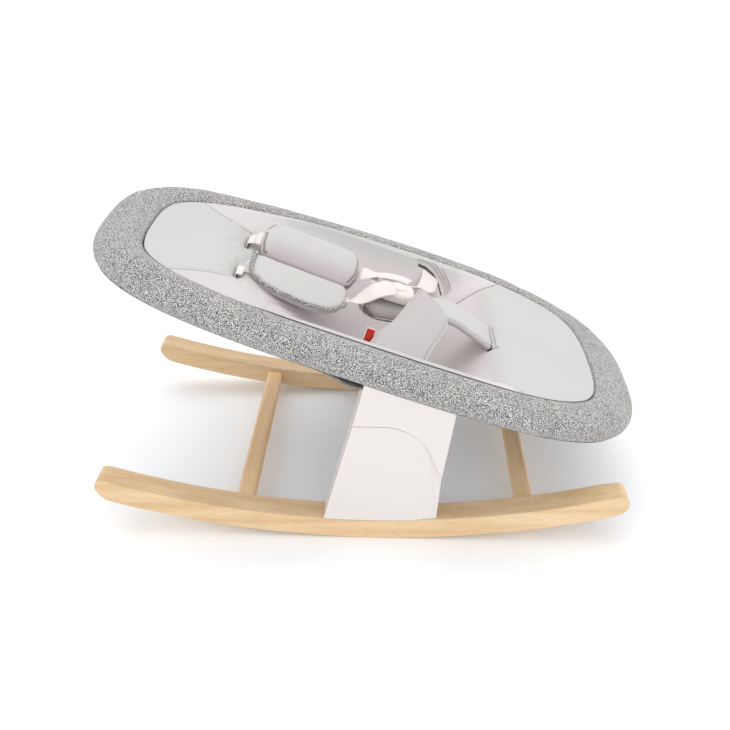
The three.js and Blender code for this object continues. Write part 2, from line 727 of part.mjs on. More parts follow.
function strip(points, across, half, thickness) {
  return ribbon(points.map((at) => ({ at, across, half })), thickness);
}

// Shoulder pads lie side by side, both leaning the same way.
const shoulders = {
  right: { middle: [-102, -37, -8], roll: 0.31, fall: 0.088, half: 27 },
  left: { middle: [-98, 34, 9], roll: 0.43, fall: 0.05, half: 29 },
};
const padHalfLength = 61;
const shoulderPadThickness = 13;

function shoulderStation({ middle: at, roll, fall }, along, drop) {
  const up = [0, -Math.sin(roll), Math.cos(roll)];
  return [at[0] + along, at[1] + up[1] * drop, at[2] - fall * along + up[2] * drop];
}

for (const [side, place] of Object.entries(shoulders)) {
  const across = [0, Math.cos(place.roll), Math.sin(place.roll)];
  const widths = [[-1, 0.66], [-0.94, 0.88], [-0.85, 1], [0.85, 1], [0.94, 0.88], [1, 0.66]];
  const stations = widths.map(([along, share]) => ({
    at: shoulderStation(place, along * padHalfLength, 0),
    across,
    half: place.half * share,
  }));
  add(`${side}_shoulder_pad`, ribbon(stations, shoulderPadThickness), 'pad', seat);
  const sign = side === 'left' ? 1 : -1;
  const under = -(shoulderPadThickness / 2 + webbing / 2 + 0.5);
  const path = [
    [slots.shoulder.u, sign * 50, -22],
    [slots.shoulder.u, sign * 50, -9],
    [slots.shoulder.u + 7, sign * 49, -6.5],
    shoulderStation(place, -padHalfLength - 3, under),
    shoulderStation(place, padHalfLength + 3, under),
    [-15, sign * 16, 8],
  ];
  const turns = [0, 0, 0.3, 1, 1, 0];
  add(`${side}_shoulder_strap`, ribbon(path.map((at, k) => ({
    at,
    across: [0, Math.cos(place.roll * turns[k]), Math.sin(place.roll * turns[k])],
    half: 12.5,
  })), webbing), 'strap', seat);
}

// Buckle over the end of the crotch pad, with a press button and a spring under it.
const buckle = { low: [-2, -22, 0], size: [50, 44, 16] };
const button = { radius: 11, low: 9, top: 18.5, x: 24, y: 0 };
const buckleShell = cut(
  block(...buckle.size, ...buckle.low),
  pinZ(button.radius + 0.4, 4, 30, button.x, button.y, 24),
);
add('buckle_body', buckleShell, 'buckle', seat);
add('buckle_button', pinZ(button.radius, button.low, button.top, button.x, button.y, 24), 'buckle', seat);
const springTurns = 3;
const springSteps = 30;
const springCurve = new THREE.CatmullRomCurve3(Array.from({ length: springSteps }, (_, k) => {
  const share = k / (springSteps - 1);
  const turn = share * springTurns * 2 * Math.PI;
  return new THREE.Vector3(button.x + 6 * Math.cos(turn), button.y + 6 * Math.sin(turn), 4.8 + share * 3.4);
}));
const wire = new THREE.Shape().absarc(0, 0, 0.45, 0, 2 * Math.PI);
add('button_spring', new THREE.ExtrudeGeometry(wire, {
  steps: springSteps, extrudePath: springCurve, curveSegments: 5, bevelEnabled: false,
}), 'steel', seat);
addPair('buckle_tongue', block(10, 26, 3, -12.5, 3, 6.5), 'buckle', seat);

// Waist straps come out of the side slots; the right one runs under a raised hip flap.
const waistPath = [
  { at: [slots.waist.u, slots.waist.y, -34], across: [1, 0, 0], half: 12.5 },
  { at: [slots.waist.u, slots.waist.y, -3], across: [1, 0, 0], half: 12.5 },
  { at: [84, 132, 2], across: [1, 0.25, 0], half: 12.5 },
  { at: [66, 84, 3], across: [0.9, 0.4, -0.1], half: 12.5 },
  { at: [46, 42, 8], across: [0.95, 0.3, 0], half: 12.5 },
  { at: [32, 24, 8], across: [1, 0.1, 0], half: 12.5 },
];
addPair('waist_strap', ribbon(waistPath, webbing), 'strap', seat);

const flapThickness = 7;
add('right_hip_flap', ribbon([
  { at: [29, -142, -1], across: [1, 0, 0], half: 35 },
  { at: [44, -112, 12], across: [1, 0.08, 0.05], half: 33 },
  { at: [58, -78, 21], across: [1, 0.1, 0.05], half: 31 },
  { at: [64, -48, 29], across: [1, 0, -0.1], half: 24 },
  { at: [62, -28, 33], across: [1, -0.2, -0.15], half: 12 },
], flapThickness), 'pad', seat);
add('left_hip_flap', ribbon([
  { at: [58, 157, 9], across: [0, 0.9, 0.44], half: 3 },
  { at: [72, 156, 8.5], across: [0, 0.9, 0.44], half: 6 },
  { at: [92, 155, 8], across: [0, 0.9, 0.44], half: 7 },
  { at: [108, 154, 7.5], across: [0, 0.9, 0.44], half: 6 },
  { at: [120, 153, 7], across: [0, 0.9, 0.44], half: 3 },
], 4), 'pad', seat);

const crotchLine = [[158, -3], [130, -1.5], [103, -4], [70, -8], [35, -13], [5, -17], [-6, -18]];
const crotchHalf = [28, 30, 30, 29, 27, 23, 15];
const crotchThickness = 13;
add('crotch_pad', ribbon(crotchLine.map(([u, v], k) => ({
  at: [u, 0, v],
  across: [0, -1, 0],
  half: crotchHalf[k],
})), crotchThickness), 'pad', seat);
const strapDrop = crotchThickness / 2 + webbing / 2 + 0.7;
add('crotch_strap', strip([
  [slots.crotch.u, 0, -24],
  [slots.crotch.u - 0.5, 0, -10.5],
  ...crotchLine.map(([u, v]) => [u, 0, v - strapDrop]),
  [-14, 0, -22],
  [-16, 0, -12],
  [-10, 0, -4.5],
  [4, 0, -2],
], [0, -1, 0], 12.5, webbing), 'strap', seat);

add('side_label', strip([[-8, -132, -14], [-8, -130, 8]], [1, 0, 0], 5, 1.2), 'label', seat);

export default model;
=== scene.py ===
"""Infant bouncer seat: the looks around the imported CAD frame, in metres, +Z up, head end towards -X."""

import json
import math

import bpy
import numpy as np
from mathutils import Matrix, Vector


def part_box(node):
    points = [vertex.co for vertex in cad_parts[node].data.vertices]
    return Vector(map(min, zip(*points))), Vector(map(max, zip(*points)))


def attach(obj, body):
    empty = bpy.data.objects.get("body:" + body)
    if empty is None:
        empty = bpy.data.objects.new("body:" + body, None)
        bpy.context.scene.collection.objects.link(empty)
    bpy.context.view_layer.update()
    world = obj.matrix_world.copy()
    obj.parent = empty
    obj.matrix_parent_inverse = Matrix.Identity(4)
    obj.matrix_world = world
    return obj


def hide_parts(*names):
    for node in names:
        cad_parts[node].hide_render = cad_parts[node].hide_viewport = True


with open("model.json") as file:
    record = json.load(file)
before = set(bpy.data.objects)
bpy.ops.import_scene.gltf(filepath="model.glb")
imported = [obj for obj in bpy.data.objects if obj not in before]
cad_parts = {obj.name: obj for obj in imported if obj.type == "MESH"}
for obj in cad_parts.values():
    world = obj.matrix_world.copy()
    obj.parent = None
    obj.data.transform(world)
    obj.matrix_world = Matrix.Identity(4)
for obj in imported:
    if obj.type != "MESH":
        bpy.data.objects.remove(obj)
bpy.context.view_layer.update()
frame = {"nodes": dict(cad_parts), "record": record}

MM = 0.001

# The seat's own frame, in millimetres: u towards the foot end, y to the left, v up out of the seat.
SEAT_TILT = math.radians(19.04)
SEAT_MIDDLE = np.array([7.34, 0.0, 255.0])
SEAT_TURN = np.array([
    [math.cos(SEAT_TILT), 0.0, math.sin(SEAT_TILT)],
    [0.0, 1.0, 0.0],
    [-math.sin(SEAT_TILT), 0.0, math.cos(SEAT_TILT)],
])


def seat_to_row(points):
    return np.asarray(points, float) @ SEAT_TURN.T + SEAT_MIDDLE


def row_to_row(points):
    return np.asarray(points, float)


# ---- camera, light and floor
def make_camera():
    camera = bpy.data.objects.new("camera", bpy.data.cameras.new("camera"))
    bpy.context.scene.collection.objects.link(camera)
    down, yaw = 0.51862, -0.03457
    forward = Vector((
        math.sin(yaw) * math.cos(down),
        math.cos(yaw) * math.cos(down),
        -math.sin(down),
    ))
    camera.location = (0.028, -1.0905, 0.7653)
    camera.rotation_mode = "QUATERNION"
    camera.rotation_quaternion = forward.to_track_quat("-Z", "Y")
    camera.data.lens = 44.38
    camera.data.sensor_width = 36
    camera.data.clip_start = 0.05
    bpy.context.scene.camera = camera


def make_stage():
    size = 30
    mesh = bpy.data.meshes.new("floor")
    corners = [(-size, -size, 0), (size, -size, 0), (size, size, 0), (-size, size, 0)]
    mesh.from_pydata(corners, [], [(0, 1, 2, 3)])
    floor = bpy.data.objects.new("floor", mesh)
    bpy.context.scene.collection.objects.link(floor)
    # Painted light: the floor glows a little, which lightens the shadows on it and the shaded undersides
    # above it.
    look = Look(
        "floor", colour=(0.915, 0.93, 0.95, 1), roughness=0.75, specular=0.2,
        glow=(1, 1, 1, 1), glow_strength=0.05,
    )
    mesh.materials.append(look.material)

    world = bpy.data.worlds.new("studio")
    bpy.context.scene.world = world
    world.use_nodes = True
    background = world.node_tree.nodes["Background"].inputs
    background["Color"].default_value = (1, 1, 1, 1)
    background["Strength"].default_value = 1.0

    add_sun("key", (-0.15, 0.25, 1.0), 0.7, 50)
    add_sun("front", (0.35, -1.0, 0.7), 0.48, 40)


def add_sun(name, towards, strength, spread):
    light = bpy.data.lights.new(name, "SUN")
    light.energy = strength
    light.angle = math.radians(spread)
    sun = bpy.data.objects.new(name, light)
    sun.rotation_mode = "QUATERNION"
    sun.rotation_quaternion = Vector(towards).to_track_quat("Z", "Y")
    bpy.context.scene.collection.objects.link(sun)


# ---- materials
WHITE = (1, 1, 1)
JERSEY = ((0.585, 0.578, 0.565), (0.57, 0.56, 0.548))
YARN_GRAIN = 980
THREAD_GRAIN = 1500
SHADER_INPUTS = {
    "colour": "Base Color", "roughness": "Roughness", "metallic": "Metallic",
    "specular": "Specular IOR Level", "sheen": "Sheen Weight",
    "glow": "Emission Color", "glow_strength": "Emission Strength",
}


def grey(level):
    return (level, level, level)


class Look:
    """A new material, with short ways to add nodes to it."""

    def __init__(self, name, **values):
        self.material = bpy.data.materials.new(name)
        self.material.use_nodes = True
        self.nodes = self.material.node_tree.nodes
        self.links = self.material.node_tree.links
        self.shader = self.nodes["Principled BSDF"]
        for key, value in values.items():
            self.shader.inputs[SHADER_INPUTS[key]].default_value = value

    def feed(self, key, value):
        self.links.new(value, self.shader.inputs[SHADER_INPUTS[key]])

    def place(self):
        return self.nodes.new("ShaderNodeTexCoord").outputs["Object"]

    def attribute(self, name, output="Fac"):
        node = self.nodes.new("ShaderNodeAttribute")
        node.attribute_name = name
        return node.outputs[output]

    def scaled(self, vector, scale):
        mapping = self.nodes.new("ShaderNodeMapping")
        mapping.inputs["Scale"].default_value = scale
        self.links.new(vector, mapping.inputs["Vector"])
        return mapping.outputs["Vector"]

    def texture(self, kind, vector, **values):
        node = self.nodes.new(f"ShaderNodeTex{kind}")
        for key, value in values.items():
            if key in node.inputs:
                node.inputs[key].default_value = value
            else:
                setattr(node, key, value)
        self.links.new(vector, node.inputs["Vector"])
        return node

    def noise(self, vector, **values):
        return self.texture("Noise", vector, **values).outputs["Fac"]

    def cells(self, vector, scale):
        return self.texture("Voronoi", vector, Scale=scale).outputs["Distance"]

    def ramp(self, value, *stops):
        node = self.nodes.new("ShaderNodeValToRGB")
        elements = node.color_ramp.elements
        while len(elements) < len(stops):
            elements.new(0.5)
        for element, (place, colour) in zip(elements, stops):
            element.position = place
            element.color = (*colour, 1)
        self.links.new(value, node.inputs["Fac"])
        return node.outputs["Color"]

    def seam(self, shade):
        """White, with a thin shaded line where the point attribute "seam" comes near 1."""
        return self.ramp(self.attribute("seam"), (0.88, WHITE), (0.94, shade))

    def mixed(self, factor, first, second, kind="MIX"):
        node = self.nodes.new("ShaderNodeMix")
        node.data_type = "RGBA"
        node.blend_type = kind
        for value, name in ((factor, "Factor"), (first, "A"), (second, "B")):
            socket = next(s for s in node.inputs if s.name == name and s.enabled)
            if isinstance(value, bpy.types.NodeSocket):
                self.links.new(value, socket)
            elif name == "Factor":
                socket.default_value = value
            else:
                socket.default_value = (*value, 1)
        return next(s for s in node.outputs if s.enabled)

    def multiplied(self, first, second, share=1.0):
        return self.mixed(share, first, second, "MULTIPLY")

    def bump(self, height, distance, strength):
        node = self.nodes.new("ShaderNodeBump")
        node.inputs["Distance"].default_value = distance
        node.inputs["Strength"].default_value = strength
        self.links.new(height, node.inputs["Height"])
        self.links.new(node.outputs["Normal"], self.shader.inputs["Normal"])


def melange_knit(name, dark, middle, light):
    """A knit of mixed dark and light yarns: salt and pepper with small loops."""
    look = Look(name, roughness=0.95, specular=0.15, sheen=0.25)
    place = look.place()
    yarn = look.noise(place, Scale=YARN_GRAIN, Detail=2.5, Roughness=0.7)
    patch = look.noise(place, Scale=22, Detail=2, Roughness=0.5)
    loops = look.cells(place, YARN_GRAIN * 0.9)
    flecks = look.ramp(yarn, (0.42, dark), (0.5, middle), (0.58, light))
    tone = look.ramp(patch, (0.3, grey(0.9)), (0.7, WHITE))
    look.feed("colour", look.multiplied(look.multiplied(flecks, tone), look.seam(grey(0.55))))
    look.bump(loops, 0.0009, 0.7)
    return look.material


def plain_jersey(name, colour, shade, wall=None):
    """Tight jersey with fine rows of thread. The attribute "wall" turns it to its wall colour: painted bounce
    light in the seat's bucket, and painted shade on the pads' lower sides, partly over their own mauve layer.
    "slot" paints the slot openings' shade dark where it comes near 1."""
    look = Look(name, roughness=0.88, specular=0.2, sheen=0.18)
    place = look.place()
    rows = look.noise(look.scaled(place, (1, 1.6, 1)), Scale=THREAD_GRAIN, Detail=1.5, Roughness=0.6)
    patch = look.noise(place, Scale=9, Detail=2, Roughness=0.5)
    tone = look.ramp(patch, (0.35, shade), (0.65, colour))
    if wall:
        # Painted light and shade: the wall colour is lighter in the seat's bucket and darker on the pads'
        # lower sides.
        tone = look.mixed(look.attribute("wall"), tone, wall)
        # Painted shade: the pad's slot openings are coloured dark where "slot" comes near 1.
        slot = look.ramp(look.attribute("slot"), (0.93, WHITE), (0.97, (0.16, 0.12, 0.12)))
        tone = look.multiplied(tone, slot)
    tone = look.multiplied(tone, look.ramp(rows, (0.3, grey(0.93)), (0.6, WHITE)))
    look.feed("colour", look.multiplied(tone, look.seam((0.5, 0.47, 0.47))))
    look.bump(rows, 0.0003, 0.5)
    return look.material


def beech_wood(name, along, light, dark):
    """Lacquered beech with its grain running along the given axis, with short pore lines."""
    look = Look(name, specular=0.35)
    place = look.place()
    squeeze = [1.0, 1.0, 1.0]
    squeeze["XYZ".index(along)] = 0.07
    vector = look.scaled(place, squeeze)
    bands = look.noise(vector, Scale=70, Detail=3, Roughness=0.5, Distortion=0.4)
    pores = look.noise(vector, Scale=900, Detail=2, Roughness=0.6)
    cloud = look.noise(place, Scale=7, Detail=2, Roughness=0.5)
    grain = look.ramp(bands, (0.33, dark), (0.62, light))
    lines = look.ramp(pores, (0.33, (0.8, 0.76, 0.7)), (0.46, WHITE))
    tone = look.ramp(cloud, (0.35, (0.93, 0.9, 0.87)), (0.65, WHITE))
    look.feed("colour", look.multiplied(look.multiplied(grain, lines, 0.55), tone, 0.8))
    look.feed("roughness", look.ramp(pores, (0.3, grey(0.55)), (0.6, grey(0.42))))
    look.bump(pores, 0.0002, 0.35)
    return look.material


def moulded_plastic(name, colour, shade, roughness=0.38):
    """Injection moulded plastic with a faint spark-eroded texture."""
    look = Look(name)
    place = look.place()
    spark = look.noise(place, Scale=1800, Detail=2, Roughness=0.6)
    cloud = look.noise(place, Scale=6, Detail=1)
    look.feed("colour", look.ramp(cloud, (0.35, shade), (0.65, colour)))
    low, high = roughness - 0.05, roughness + 0.06
    look.feed("roughness", look.ramp(spark, (0.35, grey(low)), (0.65, grey(high))))
    look.bump(spark, 0.00008, 0.5)
    return look.material


def bare_metal(name, colour, roughness, stretch):
    """Metal with fine drawn or rolled lines."""
    look = Look(name, metallic=1)
    lines = look.noise(look.scaled(look.place(), stretch), Scale=600, Detail=3, Roughness=0.6)
    shade = tuple(c * 0.82 for c in colour)
    look.feed("colour", look.ramp(lines, (0.35, shade), (0.65, colour)))
    low, high = roughness - 0.08, roughness + 0.1
    look.feed("roughness", look.ramp(lines, (0.35, grey(low)), (0.65, grey(high))))
    look.bump(lines, 0.00006, 0.5)
    return look.material


def cellular(name, colour, shade, scale, depth):
    """Foam, hard fibre or zip tape: small cells with a little change of tone."""
    look = Look(name, roughness=0.9)
    cells = look.cells(look.place(), scale)
    look.feed("colour", look.ramp(cells, (0.1, shade), (0.6, colour)))
    look.bump(cells, depth, 0.6)
    return look.material


def woven_webbing(name, colour, shade):
    """Webbing: a fine herringbone of two crossing waves."""
    look = Look(name, roughness=0.7, specular=0.3, sheen=0.15)
    vector = look.attribute("along_across", "Vector")
    warp = look.texture(
        "Wave", vector, wave_type="BANDS", bands_direction="DIAGONAL", Scale=0.42, Distortion=0.6,
    )
    weft = look.texture("Wave", vector, bands_direction="X", Scale=0.55, Distortion=0.4)
    weave = look.mixed(0.5, warp.outputs["Color"], weft.outputs["Color"])
    look.feed("colour", look.ramp(weave, (0.2, shade), (0.7, colour)))
    look.bump(weave, 0.0003, 0.6)
    return look.material


MATERIALS = {name: make(name, *values) for name, make, *values in (
    ("beech_long", beech_wood, "X", (0.80, 0.598, 0.372), (0.70, 0.485, 0.272)),
    # Painted light: this beech, with its grain across, is a lighter copy of the rockers' beech, to lift the
    # shade on the rails under the seat.
    ("beech_cross_painted_light", beech_wood, "Y", (0.93, 0.665, 0.40), (0.82, 0.545, 0.29)),
    ("shell", moulded_plastic, (0.735, 0.692, 0.668), (0.725, 0.682, 0.658)),
    ("steel", bare_metal, (0.62, 0.63, 0.65), 0.36, (1, 1, 0.1)),
    ("friction", cellular, (0.09, 0.09, 0.095), (0.05, 0.05, 0.055), 900, 0.0003),
    ("tube", bare_metal, (0.55, 0.56, 0.58), 0.4, (1, 0.1, 1)),
    ("foam", cellular, (0.72, 0.70, 0.66), (0.55, 0.54, 0.5), 700, 0.0006),
    ("knit", melange_knit, (0.03, 0.028, 0.027), (0.27, 0.26, 0.255), (0.88, 0.86, 0.84)),
    ("under_knit", melange_knit, grey(0.07), grey(0.2), grey(0.45)),
    # The zip coil is dark in itself, and is made darker still as painted shade for the shadow line under the
    # ring's roll.
    ("zip", cellular, (0.07, 0.065, 0.065), grey(0.03), 500, 0.0004),
    # Painted bounce light: the pad's wall colour is lighter and mauve, for the bucket's walls and deep
    # middle.
    ("pad", plain_jersey, *JERSEY, (0.68, 0.632, 0.635)),
    # Painted shade: this copy of the pad's jersey has a darker wall colour for the lower sides of the
    # shoulder pads and the crotch pad.
    ("shoulder", plain_jersey, *JERSEY, (0.50, 0.455, 0.46)),
    # Painted shade: the flap's jersey is the pad's jersey made darker, as the raised flap sits in shade; the
    # far side's folded flap uses it too.
    ("flap", plain_jersey, (0.52, 0.485, 0.485), (0.505, 0.47, 0.47)),
    ("strap", woven_webbing, (0.87, 0.82, 0.80), (0.78, 0.73, 0.70)),
    ("buckle", moulded_plastic, (0.83, 0.79, 0.74), (0.8, 0.76, 0.71), 0.3),
    ("label", plain_jersey, (0.56, 0.035, 0.02), (0.48, 0.03, 0.018)),
    ("label_edge", plain_jersey, (0.8, 0.76, 0.74), (0.75, 0.7, 0.68)),
)}


# ---- mesh helpers
def grid_faces(rows, columns, close_rows=False, close_columns=False, start=0):
    faces = []
    for row in range(rows if close_rows else rows - 1):
        below = (row + 1) % rows
        for column in range(columns if close_columns else columns - 1):
            beside = (column + 1) % columns
            faces.append((
                start + row * columns + column,
                start + row * columns + beside,
                start + below * columns + beside,
                start + below * columns + column,
            ))
    return faces


def make_piece(name, shape, material, nodes=(), body="seat", to_row=seat_to_row):
    """A smooth closed mesh that rides on a body and stands for CAD nodes. Its shape is points, in
    millimetres, and faces."""
    points, faces = shape
    mesh = bpy.data.meshes.new(name)
    mesh.from_pydata((to_row(points) * MM).tolist(), [], faces)
    mesh.materials.append(MATERIALS[material])
    piece = bpy.data.objects.new(name, mesh)
    bpy.context.scene.collection.objects.link(piece)
    turn_outward(mesh)
    mesh.polygons.foreach_set("use_smooth", [True] * len(mesh.polygons))
    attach(piece, body)
    if nodes:
        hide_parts(*nodes)
    return piece


def turn_outward(mesh):
    """Flips the faces if they enclose a negative volume."""
    mesh.calc_loop_triangles()
    count = len(mesh.loop_triangles)
    corners = np.zeros(count * 3, np.int32)
    mesh.loop_triangles.foreach_get("vertices", corners)
    a, b, c = vertex_places(mesh)[corners.reshape(-1, 3)].transpose(1, 0, 2)
    if np.einsum("ij,ij->i", a, np.cross(b, c)).sum() < 0:
        mesh.flip_normals()


def set_attribute(piece, name, values):
    attribute = piece.data.attributes.new(name, "FLOAT", "POINT")
    attribute.data.foreach_set("value", np.asarray(values, np.float32).ravel())


def vertex_places(mesh):
    places = np.zeros(len(mesh.vertices) * 3)
    mesh.vertices.foreach_get("co", places)
    return places.reshape(-1, 3)


def row_to_seat(points):
    return (np.asarray(points, float) - SEAT_MIDDLE) @ SEAT_TURN


def apply_modifiers(piece):
    """Puts the mesh as its modifiers leave it in place of the piece's own mesh."""
    evaluated = piece.evaluated_get(bpy.context.evaluated_depsgraph_get())
    mesh = bpy.data.meshes.new_from_object(evaluated)
    materials = list(piece.data.materials)
    mesh.materials.clear()
    for material in materials:
        mesh.materials.append(material)
    piece.modifiers.clear()
    piece.data = mesh
    mesh.polygons.foreach_set("use_smooth", [True] * len(mesh.polygons))


# Cloth under air pressure: remesh size and largest movement in millimetres, force, and simulated frames.
CLOTH = {"voxel": 4.0, "cap": 4.0, "pressure": 4.0, "frames": 20}


def inflate(piece, seam):
    """Swells a closed mesh as cloth under air pressure, held along its seam (seat points, millimetres)."""
    remesh = piece.modifiers.new("remesh", "REMESH")
    remesh.mode = "VOXEL"
    remesh.voxel_size = CLOTH["voxel"] * MM
    apply_modifiers(piece)
    start = vertex_places(piece.data)
    seam = seat_to_row(seam) * MM
    away = np.min(np.linalg.norm(start[:, None] - seam[None], axis=2), axis=1)
    held = piece.vertex_groups.new(name="held")
    held.add([int(k) for k in np.flatnonzero(away < CLOTH["voxel"] * 0.75 * MM)], 1.0, "REPLACE")
    cloth = piece.modifiers.new("cloth", "CLOTH")
    cloth.settings.vertex_group_mass = "held"
    cloth.settings.use_pressure = True
    cloth.settings.uniform_pressure_force = CLOTH["pressure"]
    cloth.settings.effector_weights.gravity = 0
    for step in range(1, CLOTH["frames"] + 1):
        bpy.context.scene.frame_set(step)
    evaluated = piece.evaluated_get(bpy.context.evaluated_depsgraph_get())
    move = vertex_places(evaluated.data) - start
    length = np.linalg.norm(move, axis=1, keepdims=True)
    move *= np.minimum(1, CLOTH["cap"] * MM / np.maximum(length, 1e-9))
    piece.modifiers.clear()
    piece.data.vertices.foreach_set("co", (start + move).ravel())
    smoother = piece.modifiers.new("rounder", "SUBSURF")
    smoother.levels = 1
    apply_modifiers(piece)
    piece.vertex_groups.clear()
    bpy.context.scene.frame_set(1)


def spline(points, count):
    """A smooth curve through the points, at evenly spaced parameters."""
    knots = np.asarray(points, float)
    padded = np.vstack([2 * knots[0] - knots[1], knots, 2 * knots[-1] - knots[-2]])
    places = np.linspace(0, len(knots) - 1, count)
    index = np.minimum(places.astype(int), len(knots) - 2)
    t = (places - index)[:, None]
    p0, p1, p2, p3 = (padded[index + k] for k in range(4))
    square = (2 * p0 - 5 * p1 + 4 * p2 - p3) * t ** 2
    cube = (3 * p1 - p0 - 3 * p2 + p3) * t ** 3
    return 0.5 * (2 * p1 + (p2 - p0) * t + square + cube)


def unit(vectors):
    return vectors / np.maximum(np.linalg.norm(vectors, axis=-1, keepdims=True), 1e-9)


def smoothstep(value, low, high):
    t = np.clip((value - low) / (high - low), 0, 1)
    return t * t * (3 - 2 * t)


def eased(count):
    """Places from -1 to 1 that crowd towards both ends."""
    return np.sin(np.linspace(-1, 1, count) * math.pi / 2)


def rounded_off(place, power, root=0.5):
    """1 at place 0 and 0 at -1 and 1; the higher the power, the later it falls."""
    return np.maximum(1 - np.abs(place) ** power, 0) ** root


def bell(distance, width):
    return np.exp(-(distance / width) ** 2)


def tube(path, radius, sides, closed=False):
    """Points and faces of a tube along a path."""
    path = np.asarray(path, float)
    if closed:
        ahead, behind = np.roll(path, -1, 0), np.roll(path, 1, 0)
    else:
        ahead = np.vstack([path[1:], path[-1:]])
        behind = np.vstack([path[:1], path[:-1]])
    along = unit(ahead - behind)
    side = np.zeros_like(along)
    current = np.cross(along[0], [0.3, 0.2, 1.0])
    for k, direction in enumerate(along):
        current = current - direction * (current @ direction)
        current = current / np.linalg.norm(current)
        side[k] = current
    other = np.cross(along, side)
    turns = np.linspace(0, 2 * math.pi, sides, endpoint=False)
    radii = np.broadcast_to(np.asarray(radius, float), (len(path),))
    points = (
        path[:, None]
        + side[:, None] * (np.cos(turns)[None, :, None] * radii[:, None, None])
        + other[:, None] * (np.sin(turns)[None, :, None] * radii[:, None, None])
    ).reshape(-1, 3)
    faces = grid_faces(len(path), sides, close_rows=closed, close_columns=True)
    if not closed:
        last = (len(path) - 1) * sides
        faces.append(tuple(range(sides)))
        faces.append(tuple(range(last + sides - 1, last - 1, -1)))
    return points, faces


def thick_sheet(grid, thickness):
    """Closed mesh around a grid of points. Thickness is one number or one for each grid point."""
    grid = np.asarray(grid, float)
    rows, columns = grid.shape[:2]
    normal = unit(np.cross(np.gradient(grid, axis=0), np.gradient(grid, axis=1)))
    half = np.broadcast_to(np.asarray(thickness, float), (rows, columns))[..., None] / 2
    top = grid + normal * half
    bottom = grid - normal * half
    points = np.vstack([top.reshape(-1, 3), bottom.reshape(-1, 3)])
    count = rows * columns
    faces = grid_faces(rows, columns)
    faces += [face[::-1] for face in grid_faces(rows, columns, start=count)]
    border = list(range(columns))
    border += [r * columns + columns - 1 for r in range(1, rows)]
    border += [(rows - 1) * columns + c for c in range(columns - 2, -1, -1)]
    border += [r * columns for r in range(rows - 2, 0, -1)]
    for first, second in zip(border, border[1:] + border[:1]):
        faces.append((second, first, first + count, second + count))
    return points, faces


def level_patch(middle, half_length, half_width, power, rows, columns):
    """A level rounded patch as a grid, with each point's place (a, b) from -1 to 1 across it."""
    a, b = eased(rows), eased(columns)
    width = half_width * rounded_off(a, power, 1 / power)
    grid = (
        np.asarray(middle, float)
        + a[:, None, None] * half_length * np.array([1, 0, 0])
        + (b[None, :] * width[:, None])[..., None] * np.array([0, 1, 0])
    )
    return grid, a[:, None], b[None, :]


# ---- rockers, rails and supports
ROCKER = {
    "radius": 1138, "thickness": 29, "contact_x": 4.6, "middle_y": 180, "width": 36,
    "facet": math.radians(2.2),
}
RAIL = {"half_x": 12, "half_z": 10.5, "power": 4}
ARC_MIDDLE_Z = ROCKER["radius"] * math.cos(ROCKER["facet"] / 2)


def arc_point(radius, angle):
    return (ROCKER["contact_x"] + radius * math.sin(angle), ARC_MIDDLE_Z - radius * math.cos(angle))


def make_prism(name, outline, low_y, high_y, material, nodes, body, rounding, segments):
    """An outline in the X-Z plane made solid between two Y values, with rounded long edges."""
    count = len(outline)
    points = [(x, y, z) for y in (low_y, high_y) for x, z in outline]
    faces = [tuple(range(count)), tuple(range(2 * count - 1, count - 1, -1))]
    for k in range(count):
        following = (k + 1) % count
        faces.append((following, k, count + k, count + following))
    piece = make_piece(name, (points, faces), material, nodes, body, row_to_row)
    round_edges(piece, rounding, segments)
    return piece


def round_edges(piece, width, segments):
    bevel = piece.modifiers.new("rounding", "BEVEL")
    bevel.width = width * MM
    bevel.segments = segments
    bevel.limit_method = "ANGLE"
    bevel.angle_limit = math.radians(32)
    bevel.use_clamp_overlap = True
    normals = piece.modifiers.new("normals", "WEIGHTED_NORMAL")
    normals.keep_sharp = True


def make_rockers():
    inner = ROCKER["radius"] - ROCKER["thickness"]
    head, foot = -0.287, 0.2655
    floor_radius = ROCKER["radius"] - 0.15
    bottom = [arc_point(floor_radius, a) for a in np.linspace(head, foot, 60)]
    top = [arc_point(inner, a) for a in np.linspace(foot, head, 60)]
    foot_nose = [(309, 42.2), (318, 46.5), (324.5, 53), (327, 61), (324.5, 68), (317, 71.6)]
    head_nose = [(-332, 81.0), (-339, 80.5), (-343, 76.5), (-344, 69), (-340, 59.5), (-332, 51.5)]
    outline = [*bottom, *foot_nose, *top, *head_nose]
    for side, sign in (("left", 1), ("right", -1)):
        low, high = (sign * ROCKER["middle_y"] + half * ROCKER["width"] for half in (-0.5, 0.5))
        make_prism(
            f"{side}_rocker_wood", outline, low, high,
            "beech_long", [f"{side}_rocker"], "base", 6.5, 5,
        )


def make_rails():
    for end in ("head", "foot"):
        low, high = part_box(f"{end}_cross_rail")
        x = (low.x + high.x) / 2 / MM
        z = (low.z + high.z) / 2 / MM
        angle = math.asin((x - ROCKER["contact_x"]) / ROCKER["radius"])
        tilt_cos, tilt_sin = math.cos(angle), math.sin(angle)
        outline = []
        for turn in np.linspace(0, 2 * math.pi, 40, endpoint=False):
            c, s = math.cos(turn), math.sin(turn)
            px = math.copysign(abs(c) ** (2 / RAIL["power"]), c) * RAIL["half_x"]
            pz = math.copysign(abs(s) ** (2 / RAIL["power"]), s) * RAIL["half_z"]
            outline.append((x + px * tilt_cos - pz * tilt_sin, z + px * tilt_sin + pz * tilt_cos))
        make_prism(
            f"{end}_rail_wood", outline, low.y / MM, high.y / MM,
            "beech_cross_painted_light", [f"{end}_cross_rail"], "base", 0.4, 2,
        )


